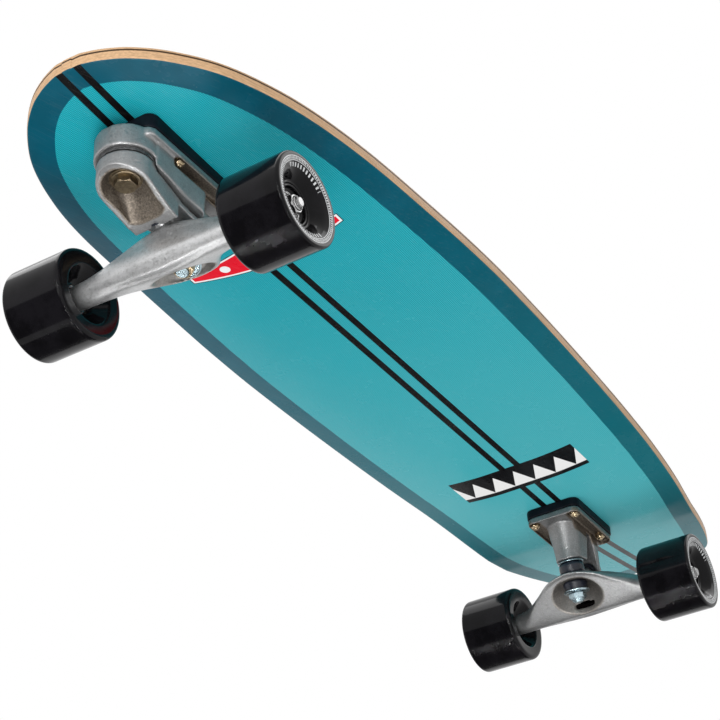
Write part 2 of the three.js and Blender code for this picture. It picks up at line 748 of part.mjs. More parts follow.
// The round hole that the cup is pushed into
function cupSocket({ pivot, axis }, reach) {
  const radius = pivotBallRadius + pivotCupWall + 2 * runningGap;
  const depth = pivotBallRadius + pivotCupWall + 2 * runningGap;
  const lip = radius + pivotCupLip;
  const lipDepth = -0.5 * pivotBallRadius + pivotCupLip + runningGap;
  return turned([
    [0, -reach], [lip, -reach], [lip, lipDepth], [radius, lipDepth], [radius, 0.6 * radius],
    [0.64 * radius, depth], [0, depth],
  ], pivot, axis);
}

// Kingpin, bushings, cup washers and nut, named from the deck's side down
function kingpinSet(end, geometry, headDepth) {
  const { down, upperBushingHeight } = geometry;
  const group = new THREE.Group();
  const half = ringWall / 2;
  const bore = kingpinRadius + runningGap;
  const washer = (depth, facing) => turnedRing([
    [bore, 0], [cupWasherRadius - cupWasherThickness, 0], [cupWasherRadius, cupWasherRim],
    [cupWasherRadius - cupWasherThickness / 2, cupWasherRim + cupWasherThickness / 2],
    [cupWasherRadius - 1.6 * cupWasherThickness, cupWasherThickness], [bore, cupWasherThickness],
  ].map(([radius, height]) => [radius, height * facing]), onPin(geometry, depth), down);
  const bushing = (depth, height, facing) => turnedRing([
    [bore, 0], [0.9 * bushingRadius, 0], [bushingRadius, 0.2 * height],
    [bushingRadius - (facing > 0 ? 0.1 : 0) * bushingRadius, 0.75 * height],
    [0.84 * bushingRadius, height], [bore, height],
  ].map(([radius, rise]) => [radius, rise * facing]), onPin(geometry, depth), down);
  const upperTop = -half - 2 * runningGap - upperBushingHeight;
  const lowerEnd = half + 2 * runningGap + lowerBushingHeight;
  group.add(namedMesh(`${end}_upper_bushing`,
    bushing(-half - runningGap, upperBushingHeight, -1), bushingUrethane()));
  group.add(namedMesh(`${end}_lower_bushing`,
    bushing(half + runningGap, lowerBushingHeight, 1), bushingUrethane()));
  group.add(namedMesh(`${end}_upper_cup_washer`, washer(upperTop - cupWasherThickness, 1), zincSteel()));
  group.add(namedMesh(`${end}_lower_cup_washer`, washer(lowerEnd + cupWasherThickness, -1), zincSteel()));
  const nutStart = lowerEnd + cupWasherThickness + runningGap;
  const nut = hexBar(onPin(geometry, nutStart), down, kingpinNutHeight, kingpinNutFlats)
    .subtract(rod(onPin(geometry, nutStart - cutOverrun), down, 2 * kingpinNutHeight, bore));
  group.add(namedMesh(`${end}_kingpin_nut`, nut, zincSteel()));
  const tip = nutStart + kingpinNutHeight + kingpinTip;
  const pin = rod(onPin(geometry, headDepth), down, tip - headDepth, kingpinRadius)
    .add(rod(onPin(geometry, headDepth - kingpinHeadHeight), down, kingpinHeadHeight, kingpinHeadRadius));
  group.add(namedMesh(`${end}_kingpin`, pin, zincSteel()));
  return group;
}

// Everything below the boss face, a plane square to the kingpin, up to a limit on the pivot's side
function belowBoss(geometry, limit) {
  const start = onPin(geometry, bossDepth(geometry));
  return rod(start, geometry.down, boardWidth, boardWidth / 2).intersect(sideProfile([
    [-boardWidth, -boardWidth], [limit, -boardWidth], [limit, boardWidth], [-boardWidth, boardWidth],
  ], boardWidth));
}

// Front truck

// The swinging arm: a round head under the drum, a scooped window below it, a thin web under the block
// and a tower at its tail that carries the kingpin
function swingArm() {
  const head = swingAxisAhead;
  const towerTop = below(armTowerDrop);
  const boss = onPin(frontGeometry, bossDepth(frontGeometry));
  const backX = head - armLipBack;
  const lip = below(armLipDrop);
  const profile = sideProfile([
    [head + armHeadRadius, below(armNoseDrop) + armWindowWall], [head + armHeadRadius, towerTop],
    [-armTailEnd, towerTop], [-armTailEnd, 0], [boss.x + bossRadius, 0],
    [boss.x + bossRadius, below(armWebDrop)], [backX, below(armWebDrop)],
    [backX, lip + armWindowWall / 2], [backX + armWindowWall / 2, lip],
    [head - armLipFront, lip + armWindowWall / 2],
    [head + armHeadRadius - armWindowWall, below(armNoseDrop)],
  ], 2 * armHeadRadius);
  const plan = plate(
    roundTwoCircles(armTailRadius - armTailEnd, armTailRadius, head, armHeadRadius), lip, towerTop);
  const centre = point(head, 0, 0);
  // The top is turned about the swing axis, so that it keeps clear of the block at every angle
  const above = turnedRing([
    [armHeadTopRadius, below(armHeadDrop)], [armSlopeStart, below(armSlopeDrop)],
    [armTopStart, below(armTopDrop)], [armTowerReach, below(armTopDrop)],
    [armTowerReach, 2 * towerTop], [armHeadTopRadius, 2 * towerTop],
  ], centre, up, wheelSegments);
  const headTop = below(armHeadDrop);
  const overHead = rod(point(head, 0, headTop), up, towerTop, armSlopeStart);
  const cam = rod(point(head, 0, headTop - cutOverrun), up,
    armHeadDrop - camDrop + cutOverrun, camRadius, camRadius, roundSegments);
  const flat = sideProfile([
    [head - 2 * camRadius, headTop + runningGap], [head - camFlat, headTop + runningGap],
    [head - camFlat, 2 * truckHeight], [head - 2 * camRadius, 2 * truckHeight],
  ], camRadius);
  const upPin = frontGeometry.down.clone().negate();
  const well = rod(onPin(frontGeometry, frontHeadDepth + runningGap), upPin, armTailRadius,
    kingpinHeadRadius + runningGap);
  const pinBore = rod(boss.clone().addScaledVector(frontGeometry.down, cutOverrun), upPin,
    2 * armTailRadius, kingpinRadius + runningGap);
  const bushingRoom = rod(boss, frontGeometry.down, 2 * armTailRadius, cupWasherRadius + 4 * runningGap);
  const boltBore = rod(centre, up, truckHeight, swingBoltRadius + runningGap);
  return profile.intersect(plan).subtract(above).subtract(overHead).subtract(bushingRoom)
    .subtract(belowBoss(frontGeometry, boss.x + bossRadius))
    .add(cam.subtract(flat)).subtract(armRecess()).subtract(boltBore)
    .subtract(cupSocket(frontGeometry, armHeadRadius)).subtract(pinBore).subtract(well);
}

// The scoop under the arm's head: a long window in the slanted underside, up to the bolt's round seat
function armRecess() {
  const head = swingAxisAhead;
  const nose = head + armHeadRadius - armWindowWall;
  const tail = nose - armWindowLength;
  const slope = (armLipDrop - armNoseDrop) / (armWindowLength + armLipBack - armLipFront);
  const wide = armHeadRadius - armWindowWall;
  const narrow = armTailRadius - armWindowWall / 2;
  const corner = 0.35 * narrow;
  const outline = roundTwoCircles(tail + narrow, narrow, nose - wide, wide).map(([x, y]) => {
    const squared = x < tail + narrow ? Math.sign(y) * Math.min(narrow, Math.abs(y) + corner) : y;
    return [x, squared];
  });
  const heightAt = (x) => below(armNoseDrop) - slope * (nose - x);
  const ring = (rise, shrink) => outline.map(([x, y]) => (
    point(lerp(x, head, shrink), y * (1 - shrink), heightAt(x) + rise)));
  const seat = roundTwoCircles(head, armRecessRadius, head, armRecessRadius)
    .map(([x, y]) => point(x, y, below(armRecessDrop)));
  return loft([ring(-3 * armWindowWall, 0), ring(0, 0), seat]);
}

// The front baseplate: flange, drum over the arm's head and the block that holds the return spring
function frontBase(holes) {
  const head = swingAxisAhead;
  const flange = plate(
    roundedRectangle(-frontFlangeIn, head + frontFlangeNose, flangeHalfWidth, flangeCorner),
    below(flangeThickness), truckHeight);
  const drumBottom = below(drumBottomDrop);
  const drum = rod(point(head, 0, drumBottom), up, drumBottomDrop, drumRadius, drumRadius, roundSegments);
  const block = loft([
    [blockBottomDrop + 2 * cutOverrun, 0], [springBoreDrop, blockBulge], [cutOverrun, blockBulge],
  ].map(([drop, bulge]) => (
    roundedRectangle(head - blockEnd, head, blockHalfWidth + bulge, blockCorner)
      .map(([x, y]) => point(x, y, below(drop))))));
  const gap = armTopDrop - blockBottomDrop;
  const sweep = turned([
    [0, 0], [2 * armTowerReach, 0], [2 * armTowerReach, below(blockBottomDrop)],
    [armTopStart, below(blockBottomDrop)], [armHeadRadius + gap, below(armSlopeDrop) + gap],
    [armHeadRadius + gap, drumBottom], [0, drumBottom],
  ], point(head, 0, 0), up, wheelSegments);
  const hollow = rod(point(head, 0, 0), up, below(drumRoofDrop), drumHollowRadius, drumHollowRadius,
    roundSegments);
  const springBore = rod(point(head - blockEnd - cutOverrun, 0, below(springBoreDrop)),
    point(1, 0, 0), blockEnd, springBoreRadius);
  const boltBore = rod(point(head, 0, 0), up, below(swingBoltTopDrop) + runningGap,
    swingBoltRadius + runningGap);
  const pockets = flangePockets(
    pocketEndRim - frontFlangeIn, head - frontBoltsBehindSwing + boltHeadRadius + pocketEndRim);
  const body = flange.add(drum).add(block).subtract(sweep).subtract(hollow).subtract(springBore)
    .subtract(boltBore).subtract(pockets);
  return holes.reduce((rest, hole) => rest.subtract(hole), body);
}

// The spring, the plunger that it presses on the arm's cam, and the plug behind it
function returnSpringParts() {
  const group = new THREE.Group();
  const height = below(springBoreDrop);
  const cam = swingAxisAhead - camRadius - runningGap;
  const plunger = turned([
    [0, 0], [0.8 * plungerRadius, 0], [plungerRadius, 0.2 * plungerRadius],
    [plungerRadius, plungerLength], [0, plungerLength],
  ], point(cam, 0, height), point(-1, 0, 0));
  const plugEnd = swingAxisAhead - blockEnd;
  const plug = rod(point(plugEnd, 0, height), point(1, 0, 0), springPlugLength,
    springBoreRadius - runningGap)
    .subtract(hexBar(point(plugEnd - cutOverrun, 0, height), point(1, 0, 0),
      cutOverrun + springPlugLength / 2, springBoreRadius));
  const start = plugEnd + springPlugLength + springWire + runningGap;
  const reach = cam - plungerLength - springWire - runningGap - start;
  const steps = springTurns * springStepsPerTurn;
  const turns = Array.from({ length: steps + 1 }, (_, i) => {
    const angle = 2 * Math.PI * i / springStepsPerTurn;
    return point(start + reach * i / steps, springRadius * Math.cos(angle),
      height + springRadius * Math.sin(angle));
  });
  const wire = new THREE.Shape().absarc(0, 0, springWire, 0, 2 * Math.PI);
  const section = new THREE.Shape(wire.getPoints(springWireSides).slice(0, -1));
  const coil = new THREE.ExtrudeGeometry(section, {
    steps, extrudePath: new THREE.CatmullRomCurve3(turns), curveSegments: 1 });
  group.add(namedMesh('spring_plunger', plunger, zincSteel()));
  group.add(namedMesh('return_spring', solidOf(coil), zincSteel()));
  group.add(namedMesh('spring_plug', plug, zincSteel()));
  return group;
}

function swingBearing() {
  const bottom = below(armHeadDrop) + runningGap;
  const top = below(drumBottomDrop) - runningGap;
  return turnedRing([
    [camRadius + runningGap, bottom], [0.95 * bearingRingRadius, bottom],
    [bearingRingRadius, bottom + runningGap], [bearingRingRadius, top], [camRadius + runningGap, top],
  ], point(swingAxisAhead, 0, 0), up, roundSegments);
}

function swingBolt() {
  const seat = below(armRecessDrop) - runningGap;
  const collarHeight = 0.3 * swingBoltHeadHeight;
  const onAxis = (height) => point(swingAxisAhead, 0, height);
  const head = hexBar(onAxis(seat - swingBoltHeadHeight), up, swingBoltHeadHeight, swingBoltFlats);
  const collar = rod(onAxis(seat - collarHeight), up, collarHeight, 0.62 * swingBoltFlats);
  const start = seat - collarHeight / 2;
  const shank = rod(onAxis(start), up, below(swingBoltTopDrop) - start, swingBoltRadius);
  return head.add(collar).add(shank);
}

// Rear truck

// The rear baseplate: a flange on a tapered oval column with the kingpin's boss and the pivot's socket
function rearBase(holes) {
  const flange = plate(
    roundedRectangle(-rearFlangeIn, rearFlangeOut, flangeHalfWidth, flangeCorner),
    below(flangeThickness), truckHeight);
  const boss = onPin(rearGeometry, bossDepth(rearGeometry));
  const low = boss.z - bossRadius / 2;
  const high = below(flangeThickness / 2);
  const sections = [0, 0.35, 0.7, 1].map((share) => {
    const spread = share ** columnSpread;
    const inRadius = lerp(bossRadius, columnTopHalfWidth, spread);
    const outRadius = lerp(pivotBossRadius, columnTopHalfWidth, spread);
    const inEdge = lerp(boss.x - bossRadius, -columnTopIn, spread);
    const outEdge = lerp(rearPivotOut + pivotBossRadius, columnTopOut, spread);
    return roundTwoCircles(inEdge + inRadius, inRadius, outEdge - outRadius, outRadius)
      .map(([x, y]) => point(x, y, lerp(low, high, share)));
  });
  const { pivot, axis, down } = rearGeometry;
  const mouth = pivot.clone().addScaledVector(axis, -0.5 * pivotBallRadius);
  const socketBoss = rod(mouth, axis, pivotBossLength, pivotBossRadius, 0.9 * pivotBossRadius);
  const socketRoom = rod(mouth, axis.clone().negate(), boardWidth, boardWidth / 2);
  const upPin = down.clone().negate();
  const well = rod(onPin(rearGeometry, rearHeadDepth + runningGap), upPin, boardWidth,
    kingpinHeadRadius + runningGap);
  const pinBore = rod(boss.clone().addScaledVector(down, cutOverrun), upPin, boardWidth / 2,
    kingpinRadius + runningGap);
  const roof = plate(roundedRectangle(-boardWidth, boardWidth, boardWidth, flangeCorner),
    truckHeight, truckHeight + boardWidth);
  const notch = belowBoss(rearGeometry, boss.x + bossRadius);
  const body = loft(sections).subtract(notch).subtract(socketRoom.intersect(behindBoss(boss)))
    .add(socketBoss).add(flange).subtract(cupSocket(rearGeometry, 2 * pivotBossRadius))
    .subtract(well).subtract(pinBore).subtract(roof)
    .subtract(flangePockets(pocketEndRim - rearFlangeIn, rearFlangeOut - pocketEndRim));
  return holes.reduce((rest, hole) => rest.subtract(hole), body);
}

// The space on the pivot's side of a boss
const behindBoss = (boss) => sideProfile([
  [boss.x + bossRadius, -boardWidth], [boardWidth, -boardWidth], [boardWidth, boardWidth],
  [boss.x + bossRadius, boardWidth],
], boardWidth);

// Puts the board together

const deckHoles = [...boltPlaces(frontBoltCentre), ...boltPlaces(rearBoltCentre)]
  .map(([x, y]) => boltHole(x, y));
const frontHoles = deckHoles.slice(0, 4);
const rearHoles = deckHoles.slice(4);
const board = new THREE.Group();

const bareDeck = deckSolid();
const drill = (solid) => deckHoles.reduce((rest, hole) => rest.subtract(hole), solid);
board.add(namedMesh('deck', drill(bareDeck), tealLacquer()));
board.add(namedMesh('grip_tape', drill(gripSheet(bareDeck)), gripGrit()));

const frontLow = frontAxleX - frontFlangeIn - riserInMargin;
const frontHigh = frontAxleX + swingAxisAhead + frontFlangeNose;
board.add(namedMesh('front_riser', riserPad(frontLow, frontHigh, bareDeck, frontHoles), blackPlastic()));
const rearLow = rearAxleX - rearFlangeOut - riserOutMargin;
const rearHigh = rearAxleX + rearFlangeIn + riserInMargin;
board.add(namedMesh('rear_riser', riserPad(rearLow, rearHigh, bareDeck, rearHoles), blackPlastic()));
for (const [end, centre] of [['front', frontBoltCentre], ['rear', rearBoltCentre]]) {
  boltPlaces(centre).forEach(([x, y], i) => {
    board.add(namedMesh(`${end}_deck_bolt_${i + 1}`, deckBolt(x, y), zincSteel()));
  });
}

// Each truck is built in its own frame with its axle at the origin, and the rear one faces the tail
const frontTruck = new THREE.Group();
frontTruck.position.set(frontAxleX, 0, axleHeight);
const toFrontTruck = (solid) => solid.translate([-frontAxleX, 0, -axleHeight]);
frontTruck.add(namedMesh('front_base', frontBase(frontHoles.map(toFrontTruck)), castMetal()));
frontTruck.add(namedMesh('swing_arm', swingArm(), castMetal()));
frontTruck.add(namedMesh('swing_bolt', swingBolt(), zincSteel()));
frontTruck.add(namedMesh('swing_bearing', swingBearing(), zincSteel()));
frontTruck.add(returnSpringParts());
frontTruck.add(kingpinSet('front', frontGeometry, frontHeadDepth));
frontTruck.add(namedMesh('front_pivot_cup', pivotCup(frontGeometry), bushingUrethane()));
frontTruck.add(namedMesh('front_hanger', hangerSolid(frontGeometry), castMetal()));
frontTruck.add(axleParts('front'));
frontTruck.add(wheelSets('front'));

const rearTruck = new THREE.Group();
rearTruck.position.set(rearAxleX, 0, axleHeight);
rearTruck.rotation.z = Math.PI;
const toRearTruck = (solid) => solid.translate([-rearAxleX, 0, -axleHeight]).rotate([0, 0, 180]);
rearTruck.add(namedMesh('rear_base', rearBase(rearHoles.map(toRearTruck)), castMetal()));
rearTruck.add(kingpinSet('rear', rearGeometry, rearHeadDepth));
rearTruck.add(namedMesh('rear_pivot_cup', pivotCup(rearGeometry), bushingUrethane()));
rearTruck.add(namedMesh('rear_hanger', hangerSolid(rearGeometry), castMetal()));
rearTruck.add(axleParts('rear'));
rearTruck.add(wheelSets('rear'));

board.add(frontTruck, rearTruck);

export default board;
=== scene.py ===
"""Looks of the surf skateboard: its detailed pieces, their finishes, the floor, the lamps and the camera.

Shapes are worked out in millimetres and put into meshes in metres. X runs from the tail to the nose, Y to
the side and Z up. A truck's own frame has the axle at its origin, U towards the board's near end and Z up.
"""

import bmesh
import bpy
import numpy as np
from bpy.props import FloatProperty, FloatVectorProperty, PointerProperty
from mathutils import Matrix, Vector


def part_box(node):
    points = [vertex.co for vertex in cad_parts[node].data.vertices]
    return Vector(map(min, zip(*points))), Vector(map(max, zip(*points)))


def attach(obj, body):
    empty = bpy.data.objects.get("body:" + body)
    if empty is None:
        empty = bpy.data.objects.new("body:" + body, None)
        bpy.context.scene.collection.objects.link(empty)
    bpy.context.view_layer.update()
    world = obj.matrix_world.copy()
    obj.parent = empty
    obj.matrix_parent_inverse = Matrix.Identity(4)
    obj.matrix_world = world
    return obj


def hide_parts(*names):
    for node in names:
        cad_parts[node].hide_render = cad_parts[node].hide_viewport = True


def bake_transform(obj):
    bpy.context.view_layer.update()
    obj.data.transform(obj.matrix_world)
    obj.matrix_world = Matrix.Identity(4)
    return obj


bl_info = {
    "name": "Surf skateboard looks",
    "version": (1, 0, 0),
    "blender": (4, 5, 0),
    "location": "3D View > Sidebar > Surf skateboard",
    "description": "Builds the visible pieces and finishes of a surf skateboard around its model",
    "category": "Object",
}

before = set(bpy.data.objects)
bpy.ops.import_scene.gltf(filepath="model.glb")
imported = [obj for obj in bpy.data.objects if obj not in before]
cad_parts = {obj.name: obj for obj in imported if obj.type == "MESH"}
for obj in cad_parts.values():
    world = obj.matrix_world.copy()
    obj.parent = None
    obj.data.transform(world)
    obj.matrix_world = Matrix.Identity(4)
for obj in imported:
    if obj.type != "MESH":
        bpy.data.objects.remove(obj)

METRE = 1000.0
DECK_LOW, DECK_HIGH = (np.array(corner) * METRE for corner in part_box("deck"))
WHEEL_LOW, WHEEL_HIGH = (np.array(corner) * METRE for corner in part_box("front_left_wheel"))


def middle_of(node):
    """The middle of a node's box, in mm."""
    low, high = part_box(node)
    return (np.array(low) + np.array(high)) * METRE / 2


FRONT_AXLE = middle_of("front_axle")
REAR_AXLE = middle_of("rear_axle")
AXLE_END = (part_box("front_axle")[1].y) * METRE

# Deck: where it bends is given in shares of half its length
OUTLINE_SHARES = np.array([
    (-1, 0.36), (-0.997, 0.45), (-0.984, 0.53), (-0.949, 0.632), (-0.854, 0.735), (-0.725, 0.827),
    (-0.595, 0.889), (-0.337, 0.954), (-0.078, 0.989), (0.13, 1), (0.25, 0.992), (0.375, 0.968),
    (0.57, 0.916), (0.699, 0.857), (0.79, 0.775), (0.867, 0.66), (0.928, 0.499), (0.965, 0.35),
    (0.985, 0.222), (0.996, 0.11), (1, 0.036),
])
DECK_BOTTOM = 116.0
EDGE_ROUNDING = 1.3
EDGE_SHOULDER = 2.6
GAP = 0.3

# Trucks, as drops below the flange's top or distances from the axle
TRUCK_HEIGHT = 72.0
SWING_AHEAD = 45.65
SEAT_IN = 25.0
BLOCK_TO_SEAT = 5.65
TOWER_GAP = 4.1
BLOCK_END = SWING_AHEAD + SEAT_IN - BLOCK_TO_SEAT
WHEEL_TRACK = 182.6
CORE_HALF = 12.0
AXLE_RADIUS = 4.0
AXLE_BORE = AXLE_RADIUS + GAP
BEARING_REACH = 8.5
HANGER_HALF = WHEEL_TRACK / 2 - CORE_HALF - 2 * GAP
HANGER_SHOULDER = HANGER_HALF - 12.7
HANGER_ARM_RADIUS = 9.6
HANGER_END_RADIUS = 9.2
RIDGE = (6.0, 9.6)
FACE_OUT = 11.3
RING_WALL = 6.0
WINDOW_TILT = np.radians(32)
WINDOW_CENTRE = (-20.8, -0.7)
WINDOW_HALF = (19.6, 24.5)
STATIONS = np.array([0, 0.13, 0.25, 0.35, 0.45, 0.54, 0.64, 0.76, 0.88, 1])
WEB_SHRINK = np.array([0, 0.08, 0.17, 0.27, 0.37, 0.47, 0.58, 0.73, 0.87, 1])
FRONT_RING_SHRINK = np.array([0, 0.05, 0.16, 0.36, 0.6, 0.77, 0.88, 0.95, 0.99, 1])
REAR_RING_SHRINK = np.array([0, 0.03, 0.09, 0.17, 0.29, 0.42, 0.56, 0.73, 0.9, 1])
KINGPIN_RADIUS = 4.75
KINGPIN_HOLE = KINGPIN_RADIUS + GAP
KINGPIN_HEAD_HOLE = 7.5
LOWER_BUSHING = 9.0
CUP_WALL = 1.4
BOSS_RADIUS = 12.6
FLANGE_HALF_WIDTH = 26.5
FLANGE_THICKNESS = 6.0
FLANGE_CORNER = 7.0
FRONT_FLANGE = (-56.4, SWING_AHEAD + 8)
REAR_FLANGE = (-60.5, 17.3)
POCKET_MARGIN = 1.8
RISER_MARGIN = 0.5
RISER_SIDE = 0.6
BOLT_SPACING = (54.0, 41.3)
BOLTS_BEHIND_SWING = 30.8
REAR_BOLTS_IN = 25.85
ARM_TAIL = -43.4
ARM_HEAD_RADIUS = 20.4
SWING_HOLE = 5.8
BOLT_TOP_DROP = 4.0
SPRING_DROP = 11.6
DRUM_DROP = 18.0
HEAD_DROP = 21.4
SEAT_DROP = 30.0
NOSE_DROP = 35.5
NOSE_AHEAD = 16.4
FAR = 250.0


def below(drop):
    """A height above the axle, given as a drop below the flange's top."""
    return TRUCK_HEIGHT - drop


# Sizes and colours


def length_setting(name, description, default, low=0.0):
    """A length in metres, for the panel."""
    return FloatProperty(name=name, description=description, default=default, min=low,
                         subtype="DISTANCE", unit="LENGTH")


def colour_setting(name, description, *default):
    """A colour, for the panel."""
    return FloatVectorProperty(name=name, description=description, default=default, min=0, max=1,
                               subtype="COLOR", size=3)


def lamp_setting(name, description, watts):
    """A lamp's power, for the panel."""
    return FloatProperty(name=name, description=f"{description}, in watts", default=watts, min=0)


class DeckSettings(bpy.types.PropertyGroup):
    """Sizes and colours of the deck and its grip."""

    length: length_setting("Length", "From the tail's end to the nose tip",
                           (DECK_HIGH[0] - DECK_LOW[0]) / METRE, 0.3)
    width: length_setting("Width", "At the widest place", (DECK_HIGH[1] - DECK_LOW[1]) / METRE, 0.1)
    thickness: length_setting("Thickness", "Of the pressed plies", 0.011, 0.005)
    band_width: length_setting("Border width", "Of the dark border round the underside", 0.0196)
    stripe_inner: length_setting("Stripe start", "From the centre line to the near side of each stripe",
                                 0.0046)
    stripe_outer: length_setting("Stripe end", "From the centre line to the far side of each stripe",
                                 0.0105)
    weave_pitch: length_setting("Weave pitch", "From thread to thread in the printed field", 0.00135,
                                0.0005)
    field: colour_setting("Field", "Lacquer inside the border", 0.012, 0.305, 0.364)
    border: colour_setting("Border", "Lacquer of the border", 0.0016, 0.066, 0.103)
    stripe: colour_setting("Stripe", "Lacquer of the two stripes", 0.004, 0.004, 0.0045)
    maple: colour_setting("Maple", "The plies at the deck's edge", 0.66, 0.42, 0.235)
    grip: colour_setting("Grip", "The abrasive sheet", 0.012, 0.012, 0.013)


class MetalSettings(bpy.types.PropertyGroup):
    """Colours of the castings, steel and plastic."""

    casting: colour_setting("Casting", "Tumbled raw alloy", 0.56, 0.565, 0.57)
    soot: colour_setting("Casting's dark skin", "Where the alloy kept its skin", 0.155, 0.145, 0.13)
    bright_steel: colour_setting("Bright steel", "Axles, axle nuts and bearings", 0.62, 0.62, 0.62)
    blue_zinc: colour_setting("Blue zinc", "Kingpins and cup washers", 0.46, 0.58, 0.63)
    gold_zinc: colour_setting("Gold zinc", "Deck bolts and the swing bolt", 0.58, 0.46, 0.30)
    riser: colour_setting("Riser", "Moulded pads", 0.003, 0.004, 0.006)


class UrethaneSettings(bpy.types.PropertyGroup):
    """Sizes and colours of the wheels and bushings."""

    wheel_diameter: length_setting("Wheel diameter", "Of each wheel",
                                   (WHEEL_HIGH[2] - WHEEL_LOW[2]) / METRE, 0.04)
    wheel_width: length_setting("Wheel width", "Across each wheel",
                                (WHEEL_HIGH[1] - WHEEL_LOW[1]) / METRE, 0.02)
    wheel: colour_setting("Wheel", "Glossy urethane", 0.0028, 0.0026, 0.0032)
    print_colour: colour_setting("Print", "The rings printed on the outer face", 0.74, 0.76, 0.77)
    bushing: colour_setting("Bushing", "Bushings and pivot cups", 0.005, 0.0065, 0.012)


class StageSettings(bpy.types.PropertyGroup):
    """The room that the board is shown in."""

    ambient: FloatProperty(
        name="Ambient", description="Light from all sides", default=0.45, min=0, max=2)
    top_lamp: lamp_setting("Top lamp", "The large lamp above", 24.0)
    nose_lamp: lamp_setting("Nose lamp", "The lamp level with the nose", 24.0)
    under_lamp: lamp_setting("Under lamp", "The lamp straight below", 11.8)
    under_nose_lamp: lamp_setting("Under-nose lamp", "The lamp below ahead of the nose", 15.0)
    floor: colour_setting("Floor", "The floor as it is seen", 0.80, 0.80, 0.80)
    flag: colour_setting("Flag", "The dark cards that shape the reflections", 0.03, 0.028, 0.027)


# Shapes


def unit(vector):
    """The vector at length 1."""
    vector = np.asarray(vector, float)
    return vector / np.linalg.norm(vector)


def axes_along(direction):
    """Rows: two directions square to the given one and to each other, then the direction."""
    axis = unit(direction)
    helper = np.array([0.0, 1.0, 0.0]) if abs(axis[1]) < 0.9 else np.array([1.0, 0.0, 0.0])
    side = unit(np.cross(helper, axis))
    return np.stack([side, np.cross(axis, side), axis])


def tidied(mesh, merge=1e-4):
    """Merges points that fall together, and turns every face outwards."""
    work = bmesh.new()
    work.from_mesh(mesh)
    bmesh.ops.remove_doubles(work, verts=work.verts, dist=merge)
    bmesh.ops.recalc_face_normals(work, faces=work.faces)
    if work.calc_volume(signed=True) < 0:
        bmesh.ops.reverse_faces(work, faces=work.faces)
    work.to_mesh(mesh)
    work.free()
    return mesh


def skin(rows, closed=False):
    """A closed surface over a grid of points. Columns join up. Rows join up too where closed, and
    otherwise the first and the last row are each drawn together in their own middle."""
    rows = np.asarray(rows, float)
    if not closed:
        ends = [np.broadcast_to(row.mean(axis=0), row.shape) for row in (rows[0], rows[-1])]
        rows = np.concatenate([ends[0][None], rows, ends[1][None]])
    here = np.arange(rows.shape[0] * rows.shape[1]).reshape(rows.shape[:2])
    right = np.roll(here, -1, axis=1)
    quads = np.stack([here, right, np.roll(right, -1, axis=0), np.roll(here, -1, axis=0)], axis=-1)
    if not closed:
        quads = quads[:-1]
    mesh = bpy.data.meshes.new("skin")
    mesh.from_pydata(rows.reshape(-1, 3).tolist(), [], quads.reshape(-1, 4).tolist())
    return tidied(mesh)


def prism(outline, low, high, sideways=False):
    """A flat outline carried straight from one level to another and closed by its two ends: upwards
    from X and Y, or sideways along Y from X and Z."""
    outline = np.asarray(outline, float)
    count = len(outline)
    order = [0, 2, 1] if sideways else [0, 1, 2]
    ends = [np.column_stack([outline, np.full(count, level)])[:, order] for level in (low, high)]
    here = np.arange(count)
    right = np.roll(here, -1)
    sides = np.column_stack([here, right, right + count, here + count]).tolist()
    mesh = bpy.data.meshes.new("prism")
    mesh.from_pydata(np.concatenate(ends).tolist(), [],
                     [*sides, here.tolist(), (here + count).tolist()])
    return tidied(mesh)


def rounded(corners, radius, steps=5, closed=False):
    """A profile with round corners. Each corner gives way to an arc of the parabola that starts and ends
    the radius back along its two sides, with one more point just before and after the arc."""
    corners = np.asarray(corners, float)
    radius = np.broadcast_to(np.asarray(radius, float), len(corners)).copy()
    before, after = np.roll(corners, 1, axis=0) - corners, np.roll(corners, -1, axis=0) - corners
    if not closed:
        before[0], after[-1] = corners[1] - corners[0], corners[-2] - corners[-1]
        radius[[0, -1]] = 0
    reach = [np.linalg.norm(side, axis=1) for side in (before, after)]
    cut = np.minimum(radius, 0.43 * np.minimum(*reach))
    start, end = (corners + side * (cut / length)[:, None]
                  for side, length in zip((before, after), reach))
    lead, tail = (corners + side * (1.15 * cut / length)[:, None]
                  for side, length in zip((before, after), reach))
    t = np.linspace(0, 1, steps)[None, :, None]
    arc = (1 - t) ** 2 * start[:, None] + 2 * t * (1 - t) * corners[:, None] + t ** 2 * end[:, None]
    return np.concatenate([lead[:, None], arc, tail[:, None]], axis=1).reshape(-1, 2)


def spun(start, direction, radius, height, angle):
    """Points round an axis: start + height along it + radius round it."""
    side, across, axis = axes_along(direction)
    return np.asarray(start, float) + height * axis + radius * (
        np.cos(angle) * side + np.sin(angle) * across)


def turned(profile, start, direction, segments=64, closed=False):
    """A turned piece from radius and height pairs. A closed profile makes a ring."""
    radius, height = np.asarray(profile, float).T[:, :, None, None]
    angle = (np.arange(segments) * 2 * np.pi / segments)[None, :, None]
    return skin(spun(start, direction, radius, height, angle), closed)


def turned_piece(profile, start, direction, segments=64, closed=False):
    """A turned piece whose points keep their place in its own frame."""
    return mark_turning(turned(profile, start, direction, segments, closed), start, direction)


def rod(start, direction, length, radius, end_radius=None, segments=64):
    """A round bar or cone from a point along a direction."""
    far = radius if end_radius is None else end_radius
    return turned([(radius, 0), (far, length)], start, direction, segments)


def rounded_rectangle(low, high, half_width, corner, steps=12):
    """The outline of a rectangle with quarter circles for corners, counter-clockwise."""
    angle = np.linspace(0, np.pi / 2, steps)
    quarters = [(high - corner, corner - half_width, -1), (high - corner, half_width - corner, 0),
                (low + corner, half_width - corner, 1), (low + corner, corner - half_width, 2)]
    return np.concatenate([
        np.column_stack([x + corner * np.cos(angle + turn * np.pi / 2),
                         y + corner * np.sin(angle + turn * np.pi / 2)])
        for x, y, turn in quarters])


